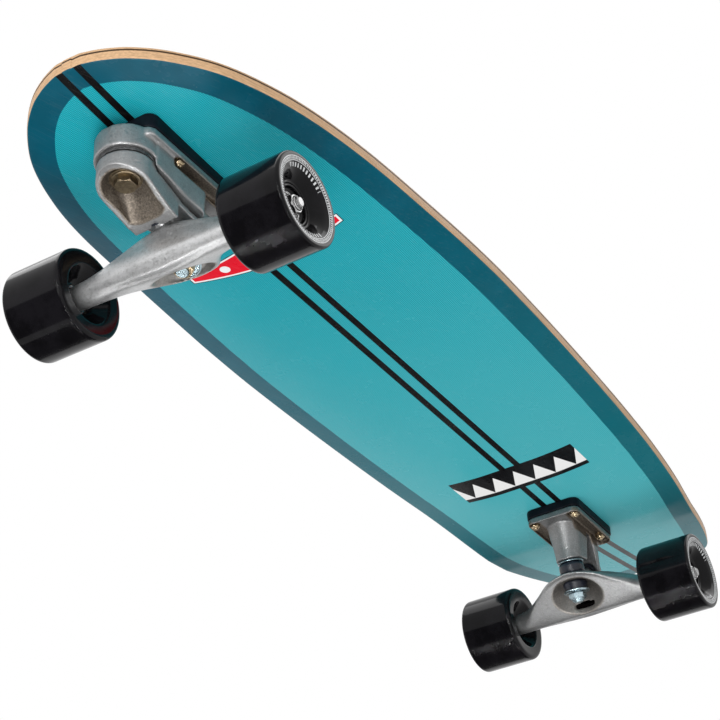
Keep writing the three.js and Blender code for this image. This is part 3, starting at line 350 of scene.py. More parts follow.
def round_two_circles(low, low_radius, high, high_radius, segments=96):
    """The outline round two circles on the X axis: the right half of one and the left half of the other."""
    angle = (np.arange(segments) + 0.5) * 2 * np.pi / segments
    near = np.cos(angle) > 0
    radius = np.where(near, high_radius, low_radius)
    return np.column_stack([
        np.where(near, high, low) + radius * np.cos(angle), radius * np.sin(angle)])


def smooth_through(controls, steps, closed=False):
    """A cubic curve through control points: on each span its slopes are half the distance between the
    neighbours on either side."""
    if closed:
        before, here, after, later = (np.roll(controls, k, axis=-2) for k in (1, 0, -1, -2))
    else:
        padded = np.concatenate([controls[..., :1, :], controls, controls[..., -1:, :]], axis=-2)
        spans = padded.shape[-2] - 3
        before, here, after, later = (padded[..., k:k + spans, :] for k in range(4))
    before, here, after, later = (part[..., None, :] for part in (before, here, after, later))
    t = (np.arange(steps) / steps)[:, None]
    start, end = (after - before) / 2, (later - here) / 2
    curve = ((2 * here - 2 * after + start + end) * t ** 3
             + (3 * after - 3 * here - 2 * start - end) * t ** 2 + start * t + here)
    curve = curve.reshape(*controls.shape[:-2], -1, controls.shape[-1])
    return curve if closed else np.concatenate([curve, controls[..., -1:, :]], axis=-2)


def eased_through(places, values, at):
    """A cubic through place and value pairs that never overshoots: each slope is the harmonic mean of the
    two steps beside it, and the first is level."""
    step = np.diff(places)
    rise = np.diff(values) / step
    inner = 2 * rise[:-1] * rise[1:] / np.maximum(rise[:-1] + rise[1:], 1e-9)
    slope = np.concatenate([[0], inner, rise[-1:]])
    k = np.clip(np.searchsorted(places, at, side="right") - 1, 0, len(places) - 2)
    t = (at - places[k]) / step[k]
    return (values[k] * (1 + 2 * t) * (1 - t) ** 2 + slope[k] * step[k] * t * (1 - t) ** 2
            + values[k + 1] * t ** 2 * (3 - 2 * t) + slope[k + 1] * step[k] * t ** 2 * (t - 1))


def worked(mesh, changes):
    """The mesh after a row of modifiers, each given as its kind and settings."""
    holder = bpy.data.objects.new("work", mesh)
    bpy.context.scene.collection.objects.link(holder)
    for kind, settings in changes:
        modifier = holder.modifiers.new(kind.lower(), kind)
        for key, value in settings.items():
            setattr(modifier, key, value)
    graph = bpy.context.evaluated_depsgraph_get()
    made = bpy.data.meshes.new_from_object(holder.evaluated_get(graph))
    bpy.data.objects.remove(holder)
    return made


def carved(mesh, steps):
    """The mesh joined with (UNION), cut by (DIFFERENCE) or held to (INTERSECT) other closed meshes."""
    tools = []
    changes = []
    for operation, other in steps:
        tool = bpy.data.objects.new("tool", other)
        bpy.context.scene.collection.objects.link(tool)
        tools.append(tool)
        changes.append(("BOOLEAN", {"operation": operation, "solver": "MANIFOLD", "object": tool}))
    made = worked(mesh, changes)
    for tool in tools:
        bpy.data.objects.remove(tool)
    return made


def tumbled(mesh, voxel=0.72, rounds=7):
    """The mesh as a casting: drawn again on an even grid, then softened so that its edges are round."""
    return worked(mesh, [
        ("REMESH", {"mode": "VOXEL", "voxel_size": voxel, "adaptivity": 0}),
        ("SMOOTH", {"factor": 0.5, "iterations": rounds}),
    ])


def together(*parts):
    """One mesh of several, each given with the number of its finish."""
    work = bmesh.new()
    for mesh, finish in parts:
        first = len(work.faces)
        work.from_mesh(mesh)
        work.faces.ensure_lookup_table()
        for face in work.faces[first:]:
            face.material_index = finish
    mesh = bpy.data.meshes.new("together")
    work.to_mesh(mesh)
    work.free()
    return mesh


def points_of(mesh):
    """The mesh's points as an array."""
    places = np.empty(len(mesh.vertices) * 3)
    mesh.vertices.foreach_get("co", places)
    return places.reshape(-1, 3)


def mark_number(mesh, name, values):
    """Keeps one number for each point of the mesh."""
    attribute = mesh.attributes.new(name, "FLOAT", "POINT")
    attribute.data.foreach_set("value", np.asarray(values, np.float32))


def mark_turning(mesh, start, direction):
    """Keeps each point's place in the piece's own frame, in mm: its axis is Z."""
    own = (points_of(mesh) - np.asarray(start, float)) @ axes_along(direction).T
    attribute = mesh.attributes.new("own_place", "FLOAT_VECTOR", "POINT")
    attribute.data.foreach_set("vector", own.astype(np.float32).ravel())
    return mesh


def truck_matrix(end):
    """From a truck's own frame to the board's, in mm. The rear truck is turned half round."""
    if end == "front":
        return Matrix.Translation(FRONT_AXLE)
    return Matrix.Translation(REAR_AXLE) @ Matrix.Rotation(np.pi, 4, "Z")


def add_piece(name, mesh, body, finishes, node, end=None, crease=38.0, bend=None):
    """Puts a finished mesh into the scene in metres, riding on its body and standing for its node. Given a
    bend, the piece is left in the board's frame and rides on no body; the bend's body and two places are
    not used."""
    if end:
        mesh.transform(truck_matrix(end))
    mesh.transform(Matrix.Scale(1 / METRE, 4))
    known = bpy.data.objects.get(name)
    if known:
        bpy.data.objects.remove(known)
    mesh.name = name
    mesh.materials.clear()
    for finish in finishes if isinstance(finishes, list) else [finishes]:
        mesh.materials.append(finish)
    mesh.shade_smooth()
    if crease:
        mesh.set_sharp_from_angle(angle=np.radians(crease))
    thing = bpy.data.objects.new(name, mesh)
    bpy.context.scene.collection.objects.link(thing)
    if bend:
        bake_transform(thing)
    else:
        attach(thing, body)
    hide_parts(node)


# Node trees


def add(tree, kind, settings=None, **inputs):
    """Adds a node. Inputs are given by socket name, with _ for a space, or as i and the socket's number."""
    node = tree.nodes.new(kind)
    for key, value in (settings or {}).items():
        setattr(node, key, value)
    for key, value in inputs.items():
        fill(tree, node.inputs[int(key[1:]) if key[1:].isdigit() else key.replace("_", " ")], value)
    return node


def fill(tree, socket, value):
    """Links a socket to another, or sets it."""
    if isinstance(value, bpy.types.NodeSocket):
        tree.links.new(value, socket)
    elif socket.type == "RGBA":
        socket.default_value = (*tuple(value)[:3], 1)
    else:
        socket.default_value = value


def sums(tree, operation, *values):
    """A Math node's result."""
    inputs = {f"i{number}": value for number, value in enumerate(values)}
    return add(tree, "ShaderNodeMath", {"operation": operation}, **inputs).outputs[0]


def times(tree, first, second):
    """Two values multiplied."""
    return sums(tree, "MULTIPLY", first, second)


def waves(tree, value, rate):
    """The sine of a value times a rate."""
    return sums(tree, "SINE", times(tree, value, rate))


def ramped(tree, value, low, high, to_low=0.0, to_high=1.0):
    """A value between two limits, carried smoothly to between two others."""
    node = add(tree, "ShaderNodeMapRange", {"interpolation_type": "SMOOTHSTEP"}, i0=value, i1=low,
               i2=high, i3=to_low, i4=to_high)
    return node.outputs["Result"]


def mixed(tree, factor, first, second):
    """Two colours mixed by a mask."""
    node = add(tree, "ShaderNodeMix", {"data_type": "RGBA"}, i0=factor, i6=first, i7=second)
    return node.outputs[2]


def toned(colour, share):
    """A colour times a share."""
    return tuple(min(1.0, share * part) for part in colour)


def noise(tree, place, scale, detail=3.0, roughness=0.5):
    """Cloudy noise from 0 to 1."""
    return add(tree, "ShaderNodeTexNoise", Vector=place, Scale=scale, Detail=detail,
               Roughness=roughness).outputs["Fac"]


def stretched(tree, place, scale):
    """A place with each of its parts scaled."""
    return add(tree, "ShaderNodeVectorMath", {"operation": "MULTIPLY"}, i0=place, i1=scale).outputs[0]


def split(tree, place):
    """A place's three parts."""
    return add(tree, "ShaderNodeSeparateXYZ", Vector=place).outputs


def length_of(tree, x, y):
    """The distance that two sides make."""
    flat = add(tree, "ShaderNodeCombineXYZ", X=x, Y=y).outputs[0]
    return add(tree, "ShaderNodeVectorMath", {"operation": "LENGTH"}, i0=flat).outputs["Value"]


def kept(tree, name):
    """The number that each point of the piece keeps under a name."""
    return add(tree, "ShaderNodeAttribute", {"attribute_name": name}).outputs["Fac"]


def start_group(name, inputs, output, kind):
    """A new node group: its inputs as name, kind and default, and its output's name and kind."""
    tree = bpy.data.node_groups.new(name, "ShaderNodeTree")
    for title, input_kind, default in [("Place", "Vector", None), *inputs]:
        socket = tree.interface.new_socket(title, in_out="INPUT", socket_type=f"NodeSocket{input_kind}")
        if default is not None:
            socket.default_value = default
    tree.interface.new_socket(output, in_out="OUTPUT", socket_type=f"NodeSocket{kind}")
    given = tree.nodes.new("NodeGroupInput").outputs
    return tree, given, tree.nodes.new("NodeGroupOutput").inputs[output]


def mottle_group(name):
    """Two colours in clouds of a chosen size, for skins that aren't even."""
    tree, given, out = start_group(name, [
        ("Size", "Float", 60.0), ("Light", "Color", (0.5, 0.5, 0.5, 1)),
        ("Dark", "Color", (0.2, 0.2, 0.2, 1)), ("Share", "Float", 0.5)], "Colour", "Color")
    cloud = ramped(tree, noise(tree, given["Place"], given["Size"], 6.0, 0.62), 0.36, 0.66)
    share = times(tree, cloud, given["Share"])
    fill(tree, out, mixed(tree, share, given["Light"], given["Dark"]))


def grain_group(name):
    """Fine grain as a height, with pits where a second noise peaks."""
    tree, given, out = start_group(name, [("Size", "Float", 900.0), ("Pits", "Float", 0.3)],
                                   "Height", "Float")
    fine = noise(tree, given["Place"], given["Size"], 4.0, 0.6)
    wide = noise(tree, given["Place"], times(tree, given["Size"], 0.31), 2.0)
    pits = times(tree, ramped(tree, wide, 0.62, 0.75), given["Pits"])
    fill(tree, out, sums(tree, "SUBTRACT", fine, pits))


def hairline_group(name):
    """A mask of fine scratches that run one way: noise drawn out 60 times along the turned X axis."""
    tree, given, out = start_group(name, [("Size", "Float", 900.0), ("Turn", "Float", 0.5)],
                                   "Mask", "Float")
    turned_place = add(tree, "ShaderNodeVectorRotate", {"rotation_type": "AXIS_ANGLE"},
                       Vector=given["Place"], Axis=(0.2, 0.35, 1.0), Angle=given["Turn"]).outputs[0]
    streak = noise(tree, stretched(tree, turned_place, (0.016, 1.0, 1.0)), given["Size"], 2.0, 0.55)
    fill(tree, out, ramped(tree, streak, 0.55, 0.72))


GROUPS = {"mottle": mottle_group, "grain": grain_group, "hairline": hairline_group}


def shared(tree, name, **inputs):
    """Places one of the shared groups, which is made the first time it is asked for."""
    title = f"surf_skateboard_{name}"
    if title not in bpy.data.node_groups:
        GROUPS[name](title)
    node = tree.nodes.new("ShaderNodeGroup")
    node.node_tree = bpy.data.node_groups[title]
    for key, value in inputs.items():
        fill(tree, node.inputs[key], value)
    return node.outputs[0]


def mottled(tree, place, size, light, dark, share):
    """A colour in clouds with a darker one, which is given as a share of it."""
    return shared(tree, "mottle", Place=place, Size=size, Light=light, Dark=toned(light, dark),
                  Share=share)


def between(tree, value, low, high, soft):
    """1 where a value lies between two limits, with a soft step at each."""
    rise = ramped(tree, value, low - soft, low + soft)
    return times(tree, rise, ramped(tree, value, high - soft, high + soft, 1.0, 0.0))


def new_finish(name, **constants):
    """A material with a Principled shader, its tree and the Object coordinates."""
    material = bpy.data.materials.get(name) or bpy.data.materials.new(name)
    material.use_nodes = True
    tree = material.node_tree
    tree.nodes.clear()
    shader = add(tree, "ShaderNodeBsdfPrincipled", **constants)
    add(tree, "ShaderNodeOutputMaterial", Surface=shader.outputs[0])
    return material, tree, tree.nodes.new("ShaderNodeTexCoord").outputs["Object"]


def finished(material, colour, roughness, height=None, distance=0.0, strength=1.0):
    """The material with a colour, a roughness and a height fed to its shader."""
    tree = material.node_tree
    shader = tree.nodes["Principled BSDF"]
    fill(tree, shader.inputs["Base Color"], colour)
    fill(tree, shader.inputs["Roughness"], roughness)
    if height is not None:
        bump = add(tree, "ShaderNodeBump", Strength=strength, Distance=distance, Height=height)
        fill(tree, shader.inputs["Normal"], bump.outputs["Normal"])
    return material


def own_place(tree):
    """The piece's own turning frame in mm, as radius, angle and height."""
    place = add(tree, "ShaderNodeAttribute", {"attribute_name": "own_place"}).outputs["Vector"]
    x, y, height = split(tree, place)
    return length_of(tree, x, y), sums(tree, "ARCTAN2", y, x), height


# Finishes

# Painted reflection: paler, greyer lacquer that the field and border take towards the tail, standing in for
# a haze reflected there.
HAZED_TAIL_DEEP = (0.055, 0.34, 0.375)
HAZED_TAIL_PALE = (0.095, 0.49, 0.54)
HAZED_TAIL_BORDER = (0.008, 0.135, 0.165)
PRINT_WHITE = (0.78, 0.79, 0.80)
STRIPES_CENTRE = 0.0012


def deck_finish(settings):
    """Lacquered underside with a woven field, a dark border, two stripes and plain shapes, with field
    and border painted paler towards the tail as a painted reflection; maple plies at the edge; bare
    maple on top."""
    material, tree, place = new_finish("deck_lacquer", IOR=1.45, Specular_IOR_Level=0.22)
    x, y, _ = split(tree, place)
    off_centre = sums(tree, "ABSOLUTE", y)
    from_edge, ply = kept(tree, "edge_distance"), kept(tree, "ply_height")

    rate = 2 * np.pi / settings.weave_pitch
    weave = sums(tree, "MULTIPLY_ADD", waves(tree, y, rate), 0.5,
                 times(tree, waves(tree, x, rate / 1.15), 0.32))
    threads = ramped(tree, weave, -0.6, 0.75)
    woven = mixed(tree, threads, toned(settings.field, 0.5), toned(settings.field, 1.45))
    field = mixed(tree, ramped(tree, noise(tree, place, 9.0), 0.3, 0.7, 0.0, 0.35), woven, settings.field)
    # Painted reflection: the field turns paler and greyer towards the tail.
    forward = ramped(tree, x, -0.42, 0.34)
    field = mixed(tree, forward, mixed(tree, threads, HAZED_TAIL_DEEP, HAZED_TAIL_PALE), field)

    border = mixed(tree, ramped(tree, noise(tree, place, 40.0, 5.0), 0.35, 0.75, 0, 0.5),
                   settings.border, toned(settings.border, 1.35))
    # Painted reflection: the border too turns paler towards the tail.
    border = mixed(tree, forward, HAZED_TAIL_BORDER, border)
    band = settings.band_width * METRE
    paint = mixed(tree, ramped(tree, from_edge, band - 0.25, band + 0.25), border, field)
    off_stripes = sums(tree, "ABSOLUTE", sums(tree, "SUBTRACT", y, STRIPES_CENTRE))
    stripes = between(tree, off_stripes, settings.stripe_inner, settings.stripe_outer, 0.00018)
    paint = mixed(tree, stripes, paint, settings.stripe)
    paint = red_bar(tree, paint, x, off_centre)
    paint = toothed_strip(tree, paint, x, y, off_centre)
    scuff = shared(tree, "hairline", Place=place, Size=700.0, Turn=0.4)
    paint = mixed(tree, times(tree, scuff, 0.015), paint, (0.6, 0.65, 0.66))

    is_wood = ramped(tree, ply, 0.35, 0.6)
    colour = mixed(tree, is_wood, paint, edge_wood(tree, settings, place, ply))
    lacquer = ramped(tree, noise(tree, place, 26.0, 4.0, 0.6), 0.3, 0.8, 0.20, 0.32)
    rough = sums(tree, "MULTIPLY_ADD", is_wood, 0.22, lacquer)
    ripples = sums(tree, "MULTIPLY_ADD", threads, 0.4, noise(tree, place, 120.0, 2.0))
    grooves = times(tree, waves(tree, ply, 4.0), is_wood)
    height = sums(tree, "MULTIPLY_ADD", grooves, 0.6, ripples)
    return finished(material, colour, rough, height, 0.00004)


def red_bar(tree, paint, x, off_centre):
    """A red bar across the board that narrows towards its blunt ends, edged black and white, with three
    white dots."""
    along = sums(tree, "ABSOLUTE", sums(tree, "SUBTRACT", x, 0.2305))
    taper = sums(tree, "MAXIMUM", 0.0, sums(tree, "SUBTRACT", off_centre, 0.012))
    reach = sums(tree, "MAXIMUM", sums(tree, "MULTIPLY_ADD", taper, 0.165, along),
                 sums(tree, "SUBTRACT", off_centre, 0.0545))
    for edge, colour in ((0.0144, (0.01, 0.008, 0.01)), (0.0136, PRINT_WHITE),
                         (0.0119, (0.68, 0.007, 0.022))):
        inside = ramped(tree, reach, edge, edge + 0.0003, 1.0, 0.0)
        paint = mixed(tree, inside, paint, colour)
    spaced = sums(tree, "PINGPONG", off_centre, 0.018)
    dots = times(tree, ramped(tree, length_of(tree, along, spaced), 0.0040, 0.0044, 1.0, 0.0),
                 ramped(tree, off_centre, 0.044, 0.045, 1.0, 0.0))
    return mixed(tree, times(tree, dots, inside), paint, PRINT_WHITE)


def toothed_strip(tree, paint, x, y, off_centre):
    """A black strip across the board with a row of white triangles that point to the tail."""
    strip = times(tree, between(tree, x, -0.200, -0.160, 0.0002),
                  ramped(tree, off_centre, 0.0628, 0.0632, 1.0, 0.0))
    tooth = sums(tree, "PINGPONG", sums(tree, "ADD", y, 0.063), 0.0105)
    rise = sums(tree, "MULTIPLY_ADD", tooth, -2.4, 0.0255)
    below_edge = sums(tree, "SUBTRACT", rise, sums(tree, "ADD", x, 0.194))
    inner = times(tree, ramped(tree, below_edge, -0.0002, 0.0002),
                  between(tree, x, -0.194, -0.166, 0.0002))
    paint = mixed(tree, strip, paint, (0.004, 0.004, 0.005))
    return mixed(tree, times(tree, inner, strip), paint, (0.80, 0.80, 0.79))


def edge_wood(tree, settings, place, ply):
    """Maple plies by height: a pale stack, one dark ply near the top and a thin pale one above it."""
    fibre = noise(tree, stretched(tree, place, (0.09, 1.0, 2.4)), 420.0, 6.0, 0.65)
    pale = mixed(tree, ramped(tree, fibre, 0.3, 0.72), settings.maple, toned(settings.maple, 0.66))
    glue = ramped(tree, sums(tree, "PINGPONG", ply, 1.25), 0.0, 0.22, 0.45, 0.0)
    pale = mixed(tree, glue, pale, (0.30, 0.16, 0.07))
    return mixed(tree, between(tree, ply, 7.3, 8.9, 0.12), pale, (0.050, 0.026, 0.010))


def grip_finish(settings):
    """Black abrasive: sharp grains with a few that glint, and a slightly paler wear."""
    material, tree, place = new_finish("grip_abrasive", IOR=1.5, Specular_IOR_Level=0.35)
    cells = add(tree, "ShaderNodeTexVoronoi", Vector=place, Scale=1500.0)
    glint = ramped(tree, cells.outputs["Color"], 0.80, 0.95)
    wear = ramped(tree, noise(tree, place, 14.0, 4.0), 0.45, 0.75)
    worn = mixed(tree, wear, settings.grip, toned(settings.grip, 2.0))
    return finished(material, mixed(tree, glint, worn, (0.11, 0.11, 0.115)),
                    sums(tree, "MULTIPLY_ADD", glint, -0.35, 0.92), cells.outputs["Distance"], 0.0005, 0.8)


def plastic_finish(settings):
    """Moulded black plastic with a fine spark-eroded grain."""
    material, tree, place = new_finish("riser_plastic", Specular_IOR_Level=0.06)
    grain = shared(tree, "grain", Place=place, Size=1400.0, Pits=0.2)
    return finished(material, mottled(tree, place, 90.0, settings.riser, 2.2, 0.8),
                    ramped(tree, grain, 0.2, 0.8, 0.34, 0.5), grain, 0.00008, 0.6)


def cast_finish(settings, name="cast_alloy", share=1.0):
    """Tumbled raw alloy: grey clouds, darker skin in patches, hairlines and a fine pitted grain. Hollows
    are painted dark brown, part casting skin and part painted shade, and sharp edges are painted paler,
    part rubbed metal and part painted highlight. The share is the tone against the palest casting; a
    share below 1 is painted shade for pieces that stand in shade."""
    material, tree, place = new_finish(name, Metallic=0.82)
    # A share below 1 paints the whole alloy darker, as painted shade.
    tone = mottled(tree, place, 30.0, toned(settings.casting, share), 0.72, 0.7)
    spots = ramped(tree, noise(tree, place, 520.0, 6.0, 0.75), 0.48, 0.68)
    tone = mixed(tree, times(tree, spots, 0.42), tone, settings.soot)
    lines = sums(tree, "MAXIMUM", shared(tree, "hairline", Place=place, Size=1100.0, Turn=0.5),
                 shared(tree, "hairline", Place=place, Size=900.0, Turn=2.1))
    tone = mixed(tree, times(tree, lines, 0.16), tone, (0.74, 0.73, 0.71))
    # Painted shade: near the hollows the alloy is painted dark brown, part casting skin and part shade.
    hollow = kept(tree, "sheltered")
    skin_spots = ramped(tree, noise(tree, place, 700.0, 5.0, 0.7), 0.36, 0.70)
    skin_and_shade_tone = mixed(tree, skin_spots, (0.072, 0.052, 0.034), (0.23, 0.187, 0.138))
    tone = mixed(tree, times(tree, hollow, 0.85), tone, skin_and_shade_tone)
    # Painted highlight: sharp edges are painted paler, part rubbed metal and part highlight.
    point = tree.nodes.new("ShaderNodeNewGeometry").outputs["Pointiness"]
    tone = mixed(tree, ramped(tree, point, 0.54, 0.64, 0.0, 0.5), tone, (0.80, 0.80, 0.79))
    grain = shared(tree, "grain", Place=place, Size=620.0, Pits=0.5)
    rough = sums(tree, "MULTIPLY_ADD", hollow, 0.1, ramped(tree, grain, 0.2, 0.8, 0.31, 0.52))
    return finished(material, tone, rough, sums(tree, "MULTIPLY_ADD", lines, 0.15, grain), 0.00016, 0.8)


def shaded_cast_finish(settings):
    """The same alloy painted darker, as painted shade, for the pieces that stand in shade."""
    return cast_finish(settings, "shaded_alloy", 0.6)


def steel_finish(name, colour, roughness, dark=0.6, spots=0.2, shade_reach=0.0):
    """Turned or rolled steel: fine rings round the axis, small stains and uneven gloss. Given a reach,
    it is painted black up to that height on both sides of its middle, as painted shade where a bar runs
    inside the hanger."""
    material, tree, place = new_finish(name, Metallic=1.0)
    stain = ramped(tree, noise(tree, place, 700.0, 5.0, 0.7), 0.60, 0.78)
    tone = mixed(tree, times(tree, stain, spots), mottled(tree, place, 320.0, colour, dark, 0.7),
                 (0.10, 0.08, 0.06))
    radius, _, height = own_place(tree)
    # Painted shade: black up to the reach on both sides of the middle.
    if shade_reach:
        unshaded = ramped(tree, sums(tree, "ABSOLUTE", height), shade_reach - 2, shade_reach)
        tone = mixed(tree, unshaded, (0.006, 0.005, 0.005), tone)
    smear = noise(tree, place, 520.0, 4.0, 0.6)
    rings = waves(tree, sums(tree, "ADD", radius, height), 26.0)
    return finished(material, tone, ramped(tree, smear, 0.25, 0.75, roughness, roughness + 0.14),
                    sums(tree, "MULTIPLY_ADD", rings, 0.12, smear), 0.00001, 0.5)


def wheel_finish(settings):
    """Poured urethane, with a silver ring of fine ticks and two rows of dashes printed on its face."""
    material, tree, place = new_finish("wheel_urethane", IOR=1.5, Specular_IOR_Level=0.14)
    radius, angle, height = own_place(tree)

    def dashes(low, high, count, gap):
        """Radial dashes between two radii, so many to the turn."""
        return times(tree, ramped(tree, waves(tree, angle, count), gap, gap + 0.3),
                     between(tree, radius, low, high, 0.08))

    rows = times(tree, dashes(23.9, 26.6, 46.0, 0.1),
                 ramped(tree, sums(tree, "COSINE", times(tree, angle, 2.0)), 0.0, 0.05))
    printed = rows
    for part in (between(tree, radius, 30.6, 31.3, 0.08), between(tree, radius, 27.6, 28.1, 0.06),
                 dashes(28.5, 30.3, 96.0, -0.35)):
        printed = sums(tree, "MAXIMUM", printed, part)
    wear = ramped(tree, noise(tree, place, 240.0, 4.0, 0.6), 0.30, 0.62, 0.7, 1.0)
    printed = times(tree, times(tree, printed, ramped(tree, height, 15.0, 15.5)), wear)
    tone = mottled(tree, place, 45.0, settings.wheel, 2.4, 0.8)
    smear = noise(tree, place, 60.0, 5.0, 0.6)
    gloss = ramped(tree, smear, 0.3, 0.75, 0.08, 0.15)
    return finished(material, mixed(tree, printed, tone, settings.print_colour),
                    sums(tree, "MULTIPLY_ADD", printed, 0.2, gloss),
                    sums(tree, "MULTIPLY_ADD", waves(tree, height, 9.0), 0.10, smear), 0.00001, 0.3)


def bearing_finish(settings):
    """Ground rings with a darker pressed shield between them."""
    material, tree, place = new_finish("bearing_steel", Metallic=1.0)
    radius, _, _ = own_place(tree)
    shield = between(tree, radius, 6.3, 8.9, 0.05)
    steel = settings.bright_steel
    tone = mixed(tree, shield, mottled(tree, place, 400.0, steel, 0.7, 0.5), toned(steel, 0.42))
    tone = mixed(tree, between(tree, radius, 8.9, 9.25, 0.05), tone, (0.01, 0.01, 0.01))
    return finished(material, tone, sums(tree, "MULTIPLY_ADD", shield, 0.16, 0.18),
                    waves(tree, radius, 34.0), 0.00001)


def bushing_finish(settings):
    """Dark cast urethane with a soft sheen and faint mould rings."""
    material, tree, place = new_finish("bushing_urethane", IOR=1.5, Specular_IOR_Level=0.45)
    smear = noise(tree, place, 300.0, 4.0)
    rings = waves(tree, own_place(tree)[2], 7.0)
    return finished(material, mottled(tree, place, 130.0, settings.bushing, 2.0, 0.8),
                    ramped(tree, smear, 0.3, 0.7, 0.26, 0.40),
                    sums(tree, "MULTIPLY_ADD", rings, 0.2, smear), 0.00004)


def nylon_finish():
    """The tough collar inside a lock nut."""
    material, tree, place = new_finish("lock_collar", Specular_IOR_Level=0.4)
    return finished(material, mottled(tree, place, 500.0, (0.10, 0.12, 0.16), 0.5, 0.7),
                    ramped(tree, noise(tree, place, 900.0), 0.3, 0.7, 0.35, 0.5))


# The deck


class DeckForm:
    """The deck's surfaces as functions of a place along it, in mm, and a share of its half width."""

    def __init__(self, settings):
        self.half_length = settings.length * METRE / 2
        self.half_width = settings.width * METRE / 2
        self.thickness = settings.thickness * METRE
        curve = smooth_through(OUTLINE_SHARES * (self.half_length, self.half_width), 60)
        run = np.concatenate([[0], np.cumsum(np.linalg.norm(np.diff(curve, axis=0), axis=1))])
        self.curve, self.run = curve, run / run[-1]

    def stations(self, count):
        """Places on the outline, closer together towards both ends: half a cosine of its length."""
        share = 0.5 - 0.5 * np.cos(np.pi * np.arange(count + 1) / count)
        return np.column_stack([np.interp(share, self.run, self.curve[:, k]) for k in (0, 1)])

    def half_width_at(self, x):
        """Half the deck's width at a place along it."""
        return np.interp(x, self.curve[:, 0], self.curve[:, 1])

    def centre_rise(self, x):
        """How high the underside's centre line lies: level, then a power curve up at each end."""
        place = np.asarray(x) / self.half_length
        nose = np.clip((place - 0.647) / 0.353, 0, 1)
        tail = np.clip((-place - 0.68) / 0.32, 0, 1)
        return 8.4 * nose ** 1.9 + 22 * tail ** 1.15

    def edge_rise(self, x):
        """How far the edges stand above the centre line: a depth that fades out towards both ends."""
        place = np.asarray(x) / self.half_length
        nose = np.clip((place - 0.496) / 0.504, 0, 1)
        tail = np.clip((-place - 0.43) / 0.314, 0, 1)
        forward = np.clip((place + 0.43) / 0.65, 0, 1)
        return (11.2 + 2.1 * forward) * (1 - nose ** 1.6) * (1 - tail ** 1.6)

    def underside(self, x, share):
        """The underside's height: flat to a fifth of the half width, then a power curve to the edge."""
        risen = np.maximum(0, (np.abs(share) - 0.2) / 0.8)
        return DECK_BOTTOM + self.centre_rise(x) + self.edge_rise(x) * risen ** 1.7

    def underside_at(self, x, y):
        """The underside's height at a place given by X and Y."""
        flat = np.maximum(self.half_width_at(x) - EDGE_ROUNDING, 1)
        return self.underside(x, np.minimum(np.abs(y) / flat, 1))

    def ends_pulled_in(self, stations, rounding):
        """The stations with more of them at both ends, and how far the slice shrinks at each so that the
        ends are round: rounding minus the height of a quarter circle."""
        steps = np.linspace(0, 1, 6)[:-1]
        first, last = (np.repeat(stations[[k]], 5, axis=0) for k in (0, -1))
        first[:, 0] += rounding * steps ** 2
        last[:, 0] -= rounding * (steps ** 2)[::-1]
        middle = stations[(stations[:, 0] > first[-1, 0] + 0.2) & (stations[:, 0] < last[0, 0] - 0.2)]
        placed = np.concatenate([first, middle, last])
        from_end = np.minimum(placed[:, 0] - placed[0, 0], placed[-1, 0] - placed[:, 0])
        inward = np.clip(from_end / rounding, 0, 1)
        return placed, rounding * (1 - np.sqrt(1 - (1 - inward) ** 2))

    def slab(self, bottom, top, inset, rounding, shoulder, count):
        """A sheet that follows the deck between two heights above its underside. Each slice runs across
        the bottom, round one edge, back across the top and round the other."""
        stations, shrink = self.ends_pulled_in(self.stations(count), rounding)
        even = np.linspace(-1, 1, 61)
        across = 0.35 * np.sin(even * np.pi / 2) + 0.65 * even
        quarter = np.linspace(0, np.pi / 2, 7)[1:-1]
        low_out, low_rise = rounding * (1 - np.sin(quarter)), shoulder * (1 - np.cos(quarter))
        level = np.zeros(even.size)
        side = np.ones(len(quarter) + 1)
        share = np.concatenate([across, side, side, across[::-1], -side, -side])
        edge = [np.append(low_out, 0), np.append(low_out, 0)[::-1]]
        rise = [np.append(low_rise, shoulder), -np.append(low_rise, shoulder)[::-1]]
        out = np.concatenate([level + rounding, *edge, level + rounding, *edge])
        from_face = np.concatenate([level, *rise, level, rise[1][::-1], rise[0][::-1]])
        on_top = np.concatenate([level, 0 * side, side, level + 1, side, 0 * side]) > 0
        x, y = stations[:, :1] * (1 - inset / self.half_length), stations[:, 1:]
        half = np.maximum(y - inset - out - shrink[:, None], 0.05)
        height = (np.where(on_top, top, bottom) + from_face
                  + shrink[:, None] * np.where(on_top, -1, 1))
        z = self.underside(x, share) + height
        return skin(np.stack(np.broadcast_arrays(x + 0 * z, share * half, z), axis=-1))


def deck_holes(form):
    """The bolts' holes with their countersinks, as turned cutters."""
    cutters = []
    for x, y in bolt_places("front") + bolt_places("rear"):
        top = float(form.underside(x, 0)) + form.thickness
        profile = [(0, -40), (2.7, -40), (2.7, -3.3), (4.9, 0), (4.9, 5), (0, 5)]
        cutters.append(("DIFFERENCE", turned(profile, (x, y, top), (0, 0, 1), 32)))
    return cutters


def bolt_places(end):
    """The four bolts of a truck, two rows of two."""
    long, wide = BOLT_SPACING[0] / 2, BOLT_SPACING[1] / 2
    front = FRONT_AXLE[0] + SWING_AHEAD - BOLTS_BEHIND_SWING - long
    centre = front if end == "front" else REAR_AXLE[0] + REAR_BOLTS_IN
    return [(centre + a * long, b * wide) for a in (-1, 1) for b in (-1, 1)]


def make_deck_mesh(settings):
    """The pressed board, with each point's distance from the outline and height through the plies."""
    form = DeckForm(settings)
    mesh = form.slab(0, form.thickness, 0, EDGE_ROUNDING, EDGE_SHOULDER, 260)
    mesh = carved(mesh, deck_holes(form))
    points = points_of(mesh)
    outline = form.curve[::3].astype(np.float32)
    side = np.abs(points[:, 1]).astype(np.float32)
    reach = np.hypot(points[:, :1].astype(np.float32) - outline[:, 0], side[:, None] - outline[:, 1])
    straight_end = points[:, 0] + form.half_length
    mark_number(mesh, "edge_distance", np.minimum(reach.min(axis=1), straight_end))
    mark_number(mesh, "ply_height", points[:, 2] - form.underside_at(points[:, 0], points[:, 1]))
    return mesh


